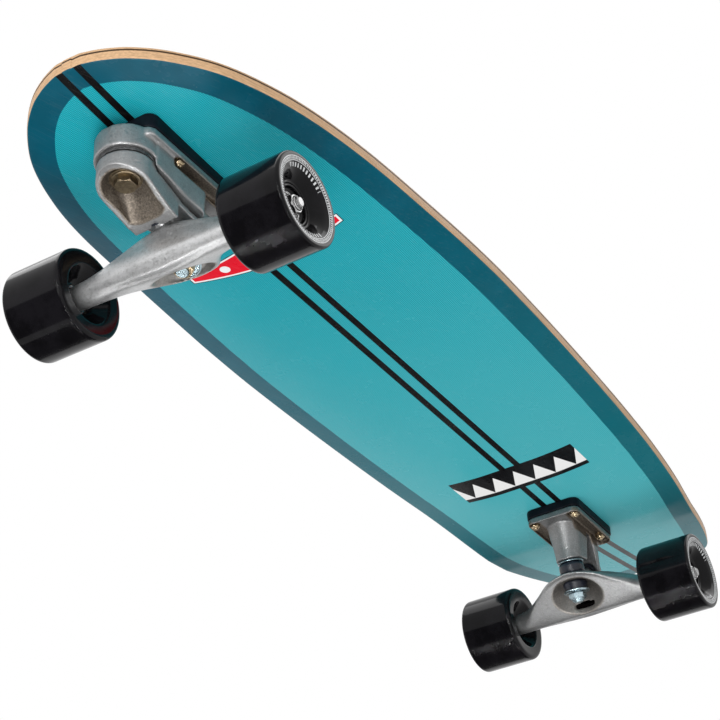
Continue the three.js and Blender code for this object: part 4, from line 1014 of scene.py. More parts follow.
def riser_mesh(form, low, high):
    """The pad between deck and baseplate: a rounded rectangle whose rings run from the middle of the flat
    bottom out, up the side and back in over a top that follows the deck's underside."""
    bottom = DECK_BOTTOM - 9 + GAP
    outline = rounded_rectangle(low, high, FLANGE_HALF_WIDTH + RISER_SIDE, FLANGE_CORNER + RISER_SIDE, 16)
    centre = np.array([(low + high) / 2, 0])
    inset = np.array([40, 12, 1.6, 0.75, 0.25, 0.03, 0, 0, 0.2, 0.8, 1.6, 6, 14, 24, 40])
    level = np.array([0, 0, 0, 0.12, 0.45, 0.9, 1.4, -1, -0.3, 0, 0, 0, 0, 0, 0])
    on_top = np.arange(len(inset)) >= 7
    reach = np.abs(outline - centre)
    scale = np.maximum(1 - inset[:, None, None] / np.maximum(reach, 20), 0.02)
    plan = centre + (outline - centre) * scale
    under = form.underside_at(plan[..., 0], plan[..., 1]) - GAP
    z = np.where(on_top[:, None], under + np.minimum(level, 0)[:, None], bottom + level[:, None])
    return skin(np.concatenate([plan, z[..., None]], axis=-1))


# Nuts and bars


def nut_mesh(start, direction, flats, height, bore, collar=0.0):
    """A hexagon nut: a closed ring profile whose radius is held to the hexagon at each angle. The ends are
    chamfered, and a round collar may stand on the outer end."""
    corner = flats / np.sqrt(3)
    body = height - collar
    half = flats / 2
    profile = [(0.97 * half, 0), (1.01 * half, 0.1), (corner, 0.06 * flats),
               (corner, body - 0.06 * flats), (1.01 * half, body - 0.1), (0.97 * half, body)]
    if collar:
        profile += [(0.86 * half, body + 0.1), (0.84 * half, height - 0.45 * collar),
                    (0.76 * half, height)]
    if bore:
        profile = [(bore, 0.4), (bore + 0.5, 0), *profile, (bore + 0.6, height), (bore, height - 0.5)]
    else:
        profile = [(0, 0), *profile, (0, height)]
    rows = rounded(profile, 0.18, 3, closed=bore > 0)
    angle = np.arange(72) * 5
    limit = half / np.cos(np.radians(angle % 60 - 30))
    radius = np.minimum(rows[:, :1], limit)[..., None]
    return skin(spun(start, direction, radius, rows[:, 1:, None], np.radians(angle)[None, :, None]),
                closed=bore > 0)


def threaded_bar(start, direction, radius, low, high, threads, pitch=1.06, depth=0.34):
    """A bar with a helical thread: the radius falls by a triangle wave of height over pitch less turn."""
    runs = [[low, low + 0.02, low + 0.5], [high - 0.5, high - 0.02, high]]
    runs += [np.arange(first, last, pitch / 7) for first, last in threads]
    height = np.unique(np.clip(np.concatenate(runs), low, high))[:, None]
    turn = np.arange(40) / 40
    phase = height / pitch - turn
    wave = np.abs(2 * (phase - np.floor(phase)) - 1)
    inside = sum((height > first) & (height < last) for first, last in threads)
    chamfer = 0.9 * np.clip(1 - np.minimum(height - low, high - height) / 0.7, 0, 1)
    return skin(spun(start, direction, (radius - depth * wave * inside - chamfer)[..., None],
                     height[..., None], (2 * np.pi * turn)[None, :, None]))


# Trucks


class TruckForm:
    """Where a truck's kingpin crosses the hanger's ring, which way it points and where the pivot sits."""

    def __init__(self, seat, tilt, pivot, upper_bushing, web_top, ring_shrink, head_rise):
        slope = np.radians(tilt)
        self.down = np.array([np.sin(slope), 0, -np.cos(slope)])
        self.outward = np.array([np.cos(slope), 0, np.sin(slope)])
        self.seat, self.pivot = np.array(seat), np.array(pivot)
        self.axis = unit(self.pivot - self.seat)
        self.upper_bushing, self.web_top, self.ring_shrink = upper_bushing, web_top, ring_shrink
        self.head_depth = -head_rise / np.cos(slope)

    def on_pin(self, depth):
        """A point on the kingpin, below the middle of the hanger's ring."""
        return self.seat + depth * self.down

    def boss(self):
        """Where the casting's boss face crosses the kingpin."""
        return self.on_pin(-(RING_WALL / 2 + 3 * GAP + self.upper_bushing + CUP_WALL))


TRUCKS = {
    "front": TruckForm((-SEAT_IN, 0, below(50)), 17, (12.5, 0, below(41)), 7.0, below(42.8),
                       FRONT_RING_SHRINK, 24.3),
    "rear": TruckForm((-24.4, 0, below(55)), 14, (11.5, 0, below(33)), 12.0, below(38),
                      REAR_RING_SHRINK, 31.0),
}


def hanger_section(form):
    """The hanger's middle section seen from the side, with each corner's weight: 0 follows the web's taper
    along the arm and 1 the ring's."""
    top = form.seat - form.down * RING_WALL / 2
    inner, ring_out, ring_in = (top + form.outward * reach for reach in (-19.0, 11.4, -13.3))

    def rim(reach):
        return (WINDOW_CENTRE[0] - reach * np.cos(WINDOW_TILT),
                WINDOW_CENTRE[1] + reach * np.sin(WINDOW_TILT))

    half = WINDOW_HALF[0]
    rim_high = rim(-0.3 * half)
    return np.array([
        (RIDGE[0], -RIDGE[1], 0), (FACE_OUT - 1.2, -0.45 * RIDGE[1], 0), (FACE_OUT, 0, 0),
        (0.9 * FACE_OUT, 0.3 * form.web_top, 0), (0.7 * FACE_OUT, 0.6 * form.web_top, 0),
        (0.6 * FACE_OUT, 0.84 * form.web_top, 0), (0.36 * FACE_OUT, 0.97 * form.web_top, 0),
        (0, form.web_top, 0.2), (ring_out[0], ring_out[2], 0.6), (top[0], top[2], 1),
        (ring_in[0], ring_in[2], 1), (inner[0] + 1.25, inner[2], 1),
        (inner[0] - 1.67, inner[2] - 2.5, 1), (*rim(half + 3.2), 1), (*rim(0.5 * half), 0.9),
        (*rim_high, 0.7), (rim(-half)[0], -10.0, 0.3), (0.1 * RIDGE[0], -10.0, 0),
    ])


def hanger_mesh(form):
    """The hanger: its middle section tapers along Y into round arms. Each slice is a smooth curve through
    the section's corners, drawn towards a circle by the station's share, then the bowl, the bores and the
    slot are cut and the pivot's neck and ball are joined on."""
    section = hanger_section(form)
    start = np.arctan2(-RIDGE[1], RIDGE[0] + HANGER_ARM_RADIUS)
    angle = start + 2 * np.pi * np.arange(len(section)) / len(section)
    circle = np.column_stack([np.cos(angle), np.sin(angle)])
    reach = np.linspace(-1, 1, 131)
    web = eased_through(STATIONS, WEB_SHRINK, np.abs(reach))
    ring = eased_through(STATIONS, form.ring_shrink, np.abs(reach))
    shrink = (web[:, None] + (ring - web)[:, None] * section[:, 2])[..., None]
    controls = section[:, :2] * (1 - shrink) + HANGER_ARM_RADIUS * circle * shrink
    y = reach * HANGER_SHOULDER
    past = np.array([0.35, 0.94, 0.985, 1.0])
    radius = HANGER_ARM_RADIUS + (HANGER_END_RADIUS - HANGER_ARM_RADIUS) * past - [0, 0, 0.25, 0.8]
    ends = circle * radius[:, None, None]
    end_y = HANGER_SHOULDER + (HANGER_HALF - HANGER_SHOULDER) * past
    controls = np.concatenate([ends[::-1], controls, ends])
    y = np.concatenate([-end_y[::-1], y, end_y])
    slices = smooth_through(controls, 7, closed=True)
    body = skin(np.stack([slices[..., 0], np.broadcast_to(y[:, None], slices.shape[:2]), slices[..., 1]],
                         axis=-1))
    neck_start = form.seat + 18 * form.axis
    arc = np.radians(np.arange(-90, 91, 10))
    ball = turned(np.column_stack([4.5 * np.cos(arc), 4.5 * np.sin(arc)]), form.pivot, form.axis, 48)
    neck = rod(neck_start, form.axis, np.linalg.norm(form.pivot - neck_start), 6, 4)
    slot_x = WINDOW_CENTRE[0] + WINDOW_HALF[0] * np.cos(WINDOW_TILT)
    slot = prism(rounded_rectangle(slot_x - 4, slot_x + 3, 9.5, 2.5), -4, 0.4)
    bowl = hanger_bowl(form)
    carved_mesh = carved(body, [
        ("DIFFERENCE", bowl),
        ("DIFFERENCE", rod(form.on_pin(-12), form.down, 18, 6.8)),
        ("UNION", neck), ("UNION", ball),
        ("DIFFERENCE", rod((0, -FAR / 2, 0), (0, 1, 0), FAR, AXLE_BORE)),
        ("DIFFERENCE", slot),
    ])
    return mark_hollow_skin_and_shade(tumbled(carved_mesh, 0.75, 7), [bowl], 0.6)


def hanger_bowl(form):
    """The bowl under the ring: from the slanted oval window up to the bushing's round seat, with walls
    that bulge out a little between them."""
    inward = np.array([-np.cos(WINDOW_TILT), 0, np.sin(WINDOW_TILT)])
    facing = np.array([-np.sin(WINDOW_TILT), 0, -np.cos(WINDOW_TILT)])
    window = np.array([WINDOW_CENTRE[0], 0, WINDOW_CENTRE[1]])
    seat = form.on_pin(RING_WALL / 2)
    angle = np.arange(96) * 2 * np.pi / 96
    share = np.concatenate([[0.0], np.linspace(0, 1, 9)])[:, None, None]
    centre = window + (seat - window) * share
    centre[0, 0] += 4 * facing
    long = unit_rows(inward + (-form.outward - inward) * share)
    bulge = 0.9 * np.sin(np.pi * share)
    long_radius = WINDOW_HALF[0] + (14.5 - WINDOW_HALF[0]) * share + bulge
    wide_radius = WINDOW_HALF[1] + (14.5 - WINDOW_HALF[1]) * share + bulge
    rows = (centre + long * long_radius * np.cos(angle)[None, :, None]
            + np.array([0, 1, 0]) * wide_radius * np.sin(angle)[None, :, None])
    return skin(rows)


def unit_rows(vectors):
    """Each vector at length 1."""
    return vectors / np.linalg.norm(vectors, axis=-1, keepdims=True)


def cup_socket(form, reach):
    """The round hole that takes the pivot cup, as a cutter."""
    radius, lip = 6.9, 8.3
    return turned([(0, -reach), (lip, -reach), (lip, -0.55), (radius, -0.55), (radius, 4.1),
                   (0.64 * radius, 6.9), (0, 6.9)], form.pivot, form.axis, 48)


def below_boss(form, limit):
    """All below the boss face, a plane square to the kingpin, up to a limit on the pivot's side."""
    wall = prism([(-FAR, -FAR), (limit, -FAR), (limit, FAR), (-FAR, FAR)], -FAR, FAR, sideways=True)
    return carved(rod(form.boss(), form.down, FAR, FAR / 2, segments=32), [("INTERSECT", wall)])


def mark_hollow_skin_and_shade(mesh, cutters, share=1.0, reach=1.6):
    """Keeps how near each point lies to a cutter's surface: the share on it, 0 beyond the reach. The
    cutters are the hollows, which the finish paints dark brown as casting skin and painted shade."""
    points = points_of(mesh).astype(np.float32)
    nearest = np.full(len(points), 1e6, np.float32)
    for cutter in cutters:
        cloud = points_of(worked(cutter, [("REMESH", {"mode": "VOXEL", "voxel_size": 1.5})]))
        low, high = cloud.min(axis=0) - reach, cloud.max(axis=0) + reach
        close = np.flatnonzero(np.all((points > low) & (points < high), axis=1))
        for part in np.array_split(close, max(1, len(close) // 2000)):
            gaps = points[part][:, None] - cloud.astype(np.float32)
            nearest[part] = np.minimum(nearest[part], np.sqrt((gaps ** 2).sum(axis=2)).min(axis=1))
    mark_number(mesh, "sheltered", share * np.clip(2 - nearest / reach * 1.4, 0, 1))
    return mesh


def flange_slab(span):
    """A baseplate's flange from one place along the truck to another."""
    outline = rounded_rectangle(*span, FLANGE_HALF_WIDTH, FLANGE_CORNER)
    return prism(outline, below(FLANGE_THICKNESS), TRUCK_HEIGHT)


def flange_pockets(low, high):
    """The two shallow pockets under a flange that take the nuts, as cutters."""
    outline = rounded_rectangle(low + POCKET_MARGIN, high - POCKET_MARGIN, 5.25, 3.5)
    return [("DIFFERENCE", prism(outline + (0, side * 19.75), below(12.2), below(2.5)))
            for side in (-1, 1)]


def front_base_mesh():
    """The front baseplate: flange, drum over the arm's head and the block with the spring's bore, less the
    room that the arm sweeps."""
    head = SWING_AHEAD
    flange = flange_slab(FRONT_FLANGE)
    drum = rod((head, 0, below(DRUM_DROP)), (0, 0, 1), DRUM_DROP, 22.5, segments=96)
    levels = [(34.2, 0), (26, 1.0), (11.6, 2), (4, 2), (1, 2)]
    block = skin([np.column_stack([
        rounded_rectangle(head - BLOCK_END, head, 21 + bulge, FLANGE_CORNER), np.full(48, below(drop))])
        for drop, bulge in levels])
    sweep = turned([(0, 0), (2 * FAR, 0), (2 * FAR, below(30.2)), (45, below(30.2)),
                    (21.8, below(24.8)), (21.8, below(DRUM_DROP)), (0, below(DRUM_DROP))],
                   (head, 0, 0), (0, 0, 1), 128)
    pockets = flange_pockets(FRONT_FLANGE[0], head - BOLTS_BEHIND_SWING + 4.6 + 2 * POCKET_MARGIN)
    cast = tumbled(carved(flange, [
        ("UNION", drum), ("UNION", block), ("DIFFERENCE", sweep),
        ("DIFFERENCE", rod((head, 0, 0), (0, 0, 1), below(7.5), 15)),
        ("DIFFERENCE", rod((head, 0, 0), (0, 0, 1), below(BOLT_TOP_DROP) + GAP, SWING_HOLE)),
        ("DIFFERENCE", rod((head - BLOCK_END - 2, 0, below(SPRING_DROP)), (1, 0, 0), BLOCK_END, 5.6)),
        *pockets,
    ]), 0.75, 5)
    return mark_hollow_skin_and_shade(cast, [pocket for _, pocket in pockets])


def arm_recess():
    """The scoop under the arm's head: a long window in the slanted underside, squarer at its tail, drawn
    together up to the bolt's round seat."""
    head = SWING_AHEAD
    nose, wide, narrow = head + NOSE_AHEAD, 16.4, 14.2
    tail = nose - 43
    slope = 14 / 53
    outline = round_two_circles(tail + narrow, narrow, nose - wide, wide)
    x, y = outline.T
    squared = np.sign(y) * np.minimum(narrow, np.abs(y) + 0.35 * narrow)
    y = np.where(x < tail + narrow, squared, y)
    height = below(NOSE_DROP) - slope * (nose - x)
    mouth = np.column_stack([x, y, height])
    seat = np.column_stack([round_two_circles(head, 12.2, head, 12.2), np.full(96, below(SEAT_DROP))])
    share = np.linspace(0, 1, 7)[:, None, None]
    return skin(np.concatenate([(mouth - (0, 0, 7.8))[None], mouth + (seat - mouth) * share]))


def swing_arm_mesh():
    """The swinging arm: a side view held to a plan of two circles, its top turned about the swing axis,
    with the cam on its head, the window under it and the kingpin's tower at its tail."""
    form = TRUCKS["front"]
    head, tower_top, lip = SWING_AHEAD, below(20.5), below(49.5)
    boss = form.boss()
    back = head - 36
    limit = boss[0] + BOSS_RADIUS
    front = head + ARM_HEAD_RADIUS
    side = prism([
        (front, below(NOSE_DROP) + 2.6), (front, tower_top), (ARM_TAIL, tower_top), (ARM_TAIL, 0),
        (limit, 0), (limit, below(37.4)), (back, below(37.4)), (back, lip + 1.3), (back + 1.3, lip),
        (head - 26, lip + 1.3), (head + NOSE_AHEAD, below(NOSE_DROP))], -38, 38, sideways=True)
    plan = prism(round_two_circles(ARM_TAIL + 15.5, 15.5, head, ARM_HEAD_RADIUS), lip, tower_top + 1)
    tower = BLOCK_END + TOWER_GAP
    above = turned([(9, below(21.9)), (20.6, below(21.9)), (21.2, below(27)), (45, below(33)),
                    (tower, below(33)), (tower, 2 * tower_top), (9, 2 * tower_top)],
                   (head, 0, 0), (0, 0, 1), 128, closed=True)
    flat = prism([(head - 26, below(21.1)), (head - 12.7, below(21.1)), (head - 12.7, FAR),
                  (head - 26, FAR)], -13.5, 13.5, sideways=True)
    cam = carved(rod((head, 0, below(23.4)), (0, 0, 1), 14.4, 13), [("DIFFERENCE", flat)])
    up_pin = -form.down
    recess = arm_recess()
    cast = tumbled(carved(side, [
        ("INTERSECT", plan), ("DIFFERENCE", above),
        ("DIFFERENCE", rod((head, 0, below(HEAD_DROP)), (0, 0, 1), tower_top, 18)),
        ("DIFFERENCE", rod(boss, form.down, 31, 13.6)),
        ("DIFFERENCE", below_boss(form, limit)), ("UNION", cam), ("DIFFERENCE", recess),
        ("DIFFERENCE", rod((head, 0, 0), (0, 0, 1), TRUCK_HEIGHT, SWING_HOLE)),
        ("DIFFERENCE", cup_socket(form, 19)),
        ("DIFFERENCE", rod(boss + 2 * form.down, up_pin, 31, KINGPIN_HOLE)),
        ("DIFFERENCE", rod(form.on_pin(form.head_depth + GAP), up_pin, 15.5, KINGPIN_HEAD_HOLE)),
    ]), 0.66, 5)
    return mark_hollow_skin_and_shade(cast, [recess])


def rear_base_mesh():
    """The rear baseplate: a flange on a column whose oval slices spread towards it, with the kingpin's
    boss and the pivot's socket."""
    form = TRUCKS["rear"]
    boss = form.boss()
    limit = boss[0] + BOSS_RADIUS
    low, high = boss[2] - BOSS_RADIUS / 2, below(3)
    rows = []
    for share in np.linspace(0, 1, 14):
        spread = share ** 1.8
        in_radius, out_radius = 12.6 + 4.4 * spread, 11.6 + 5.4 * spread
        in_edge = (boss[0] - 12.6) * (1 - spread) - 51 * spread
        out_edge = 23.1 * (1 - spread) + 14 * spread
        outline = round_two_circles(in_edge + in_radius, in_radius, out_edge - out_radius, out_radius)
        rows.append(np.column_stack([outline, np.full(len(outline), low + (high - low) * share)]))
    mouth = form.pivot - 2.25 * form.axis
    behind = prism([(limit, -FAR), (FAR, -FAR), (FAR, FAR), (limit, FAR)], -FAR, FAR, sideways=True)
    room = carved(rod(mouth, -form.axis, FAR, FAR / 2, segments=32), [("INTERSECT", behind)])
    roof = prism(rounded_rectangle(-FAR, FAR, FAR, FLANGE_CORNER), TRUCK_HEIGHT, TRUCK_HEIGHT + FAR)
    pockets = flange_pockets(*REAR_FLANGE)
    cast = tumbled(carved(skin(rows), [
        ("DIFFERENCE", below_boss(form, limit)), ("DIFFERENCE", room),
        ("UNION", rod(mouth, form.axis, 10.5, 11.6, 10.44)), ("UNION", flange_slab(REAR_FLANGE)),
        ("DIFFERENCE", cup_socket(form, 23.2)),
        ("DIFFERENCE", rod(form.on_pin(form.head_depth + GAP), -form.down, 90, KINGPIN_HEAD_HOLE)),
        ("DIFFERENCE", rod(boss + 2 * form.down, -form.down, 20, KINGPIN_HOLE)),
        ("DIFFERENCE", roof), *pockets,
    ]), 0.72, 6)
    return mark_hollow_skin_and_shade(cast, [pocket for _, pocket in pockets])


# Operators


CAMERA_PLACE = Vector((1.1441, 0.6212, -0.7295))
CAMERA_RIGHT = Vector((-0.53200568, 0.84581335, -0.03961992))
CAMERA_UP = Vector((0.45645749, 0.32588741, 0.82791543))
CAMERA_BACK = Vector((0.71317355, 0.4223709, -0.55945179))
CAMERA_LENS = 91.57
CARD_AHEAD = [(0.75, -1.4, -1.6), (0.75, 0.5, -1.6), (2.2, 0.5, 0.0), (2.2, -1.4, 0.0)]
CARD_BELOW = [(-3.6, -2.8, -1.55), (-3.6, 0.4, -1.55), (0.3, 0.4, -1.55), (0.3, -2.8, -1.55)]


class SURF_OT_stage(bpy.types.Operator):
    """Makes the floor, the white room, the lamps and the camera"""

    bl_idname = "surf_skateboard.stage"
    bl_label = "Stage"

    def execute(self, context):
        scene = context.scene
        settings = scene.surf_stage
        camera_data = bpy.data.cameras.new("view")
        camera = bpy.data.objects.new("view", camera_data)
        scene.collection.objects.link(camera)
        turn = Matrix((CAMERA_RIGHT, CAMERA_UP, CAMERA_BACK)).transposed()
        camera.matrix_world = Matrix.Translation(CAMERA_PLACE) @ turn.to_4x4()
        camera_data.sensor_width = 36
        camera_data.lens = CAMERA_LENS
        scene.camera = camera
        self.white_room(scene, settings)
        self.floor(settings)
        self.dark_card(settings, "card_ahead", CARD_AHEAD)
        self.dark_card(settings, "card_below", CARD_BELOW)
        self.lamp("lamp_above", (0.3, -0.5, 2.3), (0, 0, 0.1), 2.0, settings.top_lamp)
        self.lamp("lamp_above_far", (-1.3, 1.2, 1.7), (0, 0, 0.1), 1.4, 0.45 * settings.top_lamp)
        self.lamp("lamp_ahead", (2.2, 0.3, -0.15), (0.1, 0, 0.08), 1.1, settings.nose_lamp, False)
        self.lamp("lamp_below", (0.1, -0.2, -1.5), (-0.1, -0.1, 0), 1.2, settings.under_lamp, False)
        self.lamp("lamp_below_nose", (1.2, 0.5, -1.2), (0.4, 0, 0.12), 0.9, settings.under_nose_lamp,
                  False)
        scene.view_settings.view_transform = "Standard"
        return {"FINISHED"}

    @staticmethod
    def white_room(scene, settings):
        """White wherever the camera, a reflection or glass looks past the board, plain light otherwise."""
        world = bpy.data.worlds.new("white_room")
        scene.world = world
        world.use_nodes = True
        tree = world.node_tree
        ray = tree.nodes.new("ShaderNodeLightPath").outputs
        seen = sums(tree, "MAXIMUM", ray["Is Camera Ray"],
                    sums(tree, "MAXIMUM", ray["Is Glossy Ray"], ray["Is Transmission Ray"]))
        background = tree.nodes["Background"]
        background.inputs["Color"].default_value = (1, 1, 1, 1)
        strength = add(tree, "ShaderNodeMapRange", Value=seen, To_Min=settings.ambient)
        fill(tree, background.inputs["Strength"], strength.outputs["Result"])

    @staticmethod
    def sheet(name, points, faces, material):
        """A flat part of the room."""
        mesh = bpy.data.meshes.new(name)
        mesh.from_pydata(points, [], faces)
        mesh.materials.append(material)
        sheet = bpy.data.objects.new(name, mesh)
        bpy.context.scene.collection.objects.link(sheet)
        return sheet

    def floor(self, settings):
        """A wide pale sheet at the wheels' foot that is only seen from above, fades out with distance and
        lets the light of the lamps below through."""
        material, tree, place = new_finish("pale_floor", Specular_IOR_Level=0.2)
        cloud = ramped(tree, noise(tree, place, 3.0, 4.0), 0.3, 0.7, 0.0, 0.03)
        finished(material, mixed(tree, cloud, settings.floor, (0.2, 0.2, 0.2)), 0.7)
        from_below = tree.nodes.new("ShaderNodeNewGeometry").outputs["Backfacing"]
        ray = tree.nodes.new("ShaderNodeLightPath").outputs
        seen = times(tree, ray["Is Camera Ray"], sums(tree, "SUBTRACT", 1.0, from_below))
        x, y, _ = split(tree, place)
        seen = times(tree, seen, ramped(tree, length_of(tree, x, y), 0.8, 2.8, 1.0, 0.0))
        clear = tree.nodes.new("ShaderNodeBsdfTransparent").outputs[0]
        pale = tree.nodes["Principled BSDF"].outputs[0]
        both = add(tree, "ShaderNodeMixShader", i0=seen, i1=clear, i2=pale).outputs[0]
        fill(tree, tree.nodes["Material Output"].inputs["Surface"], both)
        spread = np.linspace(-3, 3, 7)
        x, y = np.meshgrid(spread, spread)
        points = np.column_stack([x.ravel(), y.ravel(), np.full(x.size, -0.0003)])
        here = np.arange(49).reshape(7, 7)[:-1, :-1].ravel()
        faces = np.column_stack([here, here + 1, here + 8, here + 7])
        self.sheet("floor", points.tolist(), faces.tolist(), material)

    def dark_card(self, settings, name, corners):
        """A dark card that only reflections show. It pales towards the tail's side."""
        material, tree, place = new_finish(name, Specular_IOR_Level=0.0)
        pale = ramped(tree, split(tree, place)[0], -3.4, -1.2)
        finished(material, mixed(tree, pale, (0.5, 0.5, 0.5), settings.flag), 0.5)
        card = self.sheet(name, corners, [[0, 1, 2, 3]], material)
        card.visible_camera = card.visible_diffuse = card.visible_shadow = False

    @staticmethod
    def lamp(name, place, target, size, power, hit=True):
        """A square lamp turned towards a point."""
        data = bpy.data.lights.new(name, "AREA")
        data.size, data.energy = size, power
        data.cycles.use_multiple_importance_sampling = hit
        lamp = bpy.data.objects.new(name, data)
        facing = (Vector(target) - Vector(place)).to_track_quat("-Z", "Y")
        lamp.matrix_world = Matrix.Translation(place) @ facing.to_matrix().to_4x4()
        lamp.visible_camera = False
        bpy.context.scene.collection.objects.link(lamp)


class SURF_OT_deck(bpy.types.Operator):
    """Makes the pressed deck with its lacquer and plies"""

    bl_idname = "surf_skateboard.deck"
    bl_label = "Deck"

    def execute(self, context):
        settings = context.scene.surf_deck
        add_piece("deck_board", make_deck_mesh(settings), "board", deck_finish(settings),
                  "deck", crease=50)
        return {"FINISHED"}


class SURF_OT_grip(bpy.types.Operator):
    """Makes the abrasive sheet on the deck's top"""

    bl_idname = "surf_skateboard.grip"
    bl_label = "Grip sheet"

    def execute(self, context):
        settings = context.scene.surf_deck
        form = DeckForm(settings)
        mesh = form.slab(form.thickness + 0.05, form.thickness + 1.3, 1.5 + EDGE_ROUNDING, 0.25, 0.25, 220)
        mesh = carved(mesh, deck_holes(form))
        add_piece("grip_sheet", mesh, "board", grip_finish(settings), "grip_tape",
                  crease=50)
        return {"FINISHED"}


class SURF_OT_risers(bpy.types.Operator):
    """Makes the two riser pads"""

    bl_idname = "surf_skateboard.risers"
    bl_label = "Riser pads"

    def execute(self, context):
        form = DeckForm(context.scene.surf_deck)
        finish = plastic_finish(context.scene.surf_metal)
        front, rear = FRONT_AXLE[0], REAR_AXLE[0]
        spans = {"front": (front + FRONT_FLANGE[0] - RISER_MARGIN, front + FRONT_FLANGE[1]),
                 "rear": (rear - REAR_FLANGE[1] - 2.4, rear - REAR_FLANGE[0] + RISER_MARGIN)}
        for end, (low, high) in spans.items():
            add_piece(f"{end}_riser_pad", riser_mesh(form, low, high), "board", finish,
                      f"{end}_riser")
        return {"FINISHED"}


class SURF_OT_front_base(bpy.types.Operator):
    """Makes the front baseplate with its drum and block"""

    bl_idname = "surf_skateboard.front_base"
    bl_label = "Front baseplate"

    def execute(self, context):
        # The front baseplate's alloy is painted darker, as painted shade.
        add_piece("front_base_casting", front_base_mesh(), "board",
                  shaded_cast_finish(context.scene.surf_metal), "front_base", "front", crease=0)
        return {"FINISHED"}


class SURF_OT_swing_arm(bpy.types.Operator):
    """Makes the arm that swings under the front baseplate"""

    bl_idname = "surf_skateboard.swing_arm"
    bl_label = "Swinging arm"

    def execute(self, context):
        # The arm's alloy is painted darker, as painted shade.
        add_piece("swing_arm_casting", swing_arm_mesh(), "front_swing_arm",
                  shaded_cast_finish(context.scene.surf_metal), "swing_arm", "front", crease=0)
        return {"FINISHED"}


class SURF_OT_rear_base(bpy.types.Operator):
    """Makes the rear baseplate on its column"""

    bl_idname = "surf_skateboard.rear_base"
    bl_label = "Rear baseplate"

    def execute(self, context):
        # The rear baseplate's alloy is painted darker still, as painted shade.
        finish = cast_finish(context.scene.surf_metal, "shaded_column_alloy", 0.36)
        add_piece("rear_base_casting", rear_base_mesh(), "board", finish, "rear_base",
                  "rear", crease=0)
        return {"FINISHED"}


class SURF_OT_hangers(bpy.types.Operator):
    """Makes the two hangers"""

    bl_idname = "surf_skateboard.hangers"
    bl_label = "Hangers"

    def execute(self, context):
        metal = context.scene.surf_metal
        # The rear hanger's alloy is painted darker, as painted shade.
        finishes = {"front": cast_finish(metal), "rear": shaded_cast_finish(metal)}
        for end, form in TRUCKS.items():
            add_piece(f"{end}_hanger_casting", hanger_mesh(form), f"{end}_carriage", finishes[end],
                      f"{end}_hanger", end, crease=0)
        return {"FINISHED"}


def sides_of(end):
    """A truck's two sides as name and direction in its own frame. The rear truck is turned round, so its
    sides change places."""
    return [("left", 1), ("right", -1)] if end == "front" else [("left", -1), ("right", 1)]


class SURF_OT_wheels(bpy.types.Operator):
    """Makes the four wheels with their bearings and spacers"""

    bl_idname = "surf_skateboard.wheels"
    bl_label = "Wheels and bearings"

    def execute(self, context):
        settings = context.scene.surf_urethane
        radius, half = settings.wheel_diameter * METRE / 2, settings.wheel_width * METRE / 2
        urethane = wheel_finish(settings)
        metal = context.scene.surf_metal
        steel = bearing_finish(metal)
        spacer_steel = steel_finish("spacer_steel", metal.bright_steel, 0.30)
        for end in TRUCKS:
            for side, sign in sides_of(end):
                facing = np.array([0, sign, 0])
                centre = facing * WHEEL_TRACK / 2
                name, body = f"{end}_{side}", f"{end}_{side}_wheel_set"
                mesh = self.wheel(radius, half, centre, facing)
                add_piece(f"{name}_wheel_tyre", mesh, body, urethane,
                          f"{name}_wheel", end, crease=45)
                for place, step in (("inner", -1), ("outer", 1)):
                    middle = centre + facing * step * BEARING_REACH
                    bearing = self.bearing(middle, facing * step)
                    add_piece(f"{name}_{place}_bearing_rings", bearing, body, steel,
                              f"{name}_{place}_bearing", end, crease=30)
                wall = rounded([(AXLE_BORE, -4.7), (5.4, -4.7), (5.4, 4.7), (AXLE_BORE, 4.7)], 0.3,
                               closed=True)
                tube = turned_piece(wall, centre, facing, 48, closed=True)
                add_piece(f"{name}_spacer_tube", tube, f"{end}_carriage", spacer_steel,
                          f"{name}_bearing_spacer", end)
        return {"FINISHED"}

    @staticmethod
    def wheel(radius, half, centre, facing):
        """The wheel's half section, from its inner recess round the tread to the outer one, spun."""
        seat = 11.3
        corners = [
            (seat, -12.0), (13.2, -12.6), (15.2, -14.2), (19.6, -20.2), (22.6, -half + 0.9),
            (radius, -half), (radius, half), (28.6, half - 0.5), (23.4, half - 2.6),
            (20.6, half - 5.6), (17.6, 15.6), (16.2, 15.2), (14.4, 15.6), (13.4, 15.2), (13.0, 12.7),
            (seat, 12.0), (seat, 5.0), (9.3, 5.0), (9.3, -5.0), (seat, -5.0)]
        radii = [0.3, 0.6, 1.6, 2.5, 1.6, 4.4, 3.4, 2.0, 2.2, 2.4, 1.2, 0.5, 0.5, 0.4, 0.5, 0.3, 0.3, 0.3,
                 0.3, 0.3]
        profile = rounded(corners, radii, 8, closed=True)
        return turned_piece(profile, centre, facing, 128, closed=True)

    @staticmethod
    def bearing(centre, facing):
        """A bearing's section: two rings flush with the face and a shield set back between them."""
        half = 3.35
        face = [(AXLE_BORE, half), (6.0, half), (6.2, half - 0.45), (8.8, half - 0.45), (9.2, half - 0.7),
                (9.4, half), (11, half)]
        back = [(radius, -height) for radius, height in reversed(face)]
        profile = rounded([*face, *back], 0.22, 4, closed=True)
        return turned_piece(profile, centre, facing, 64, closed=True)


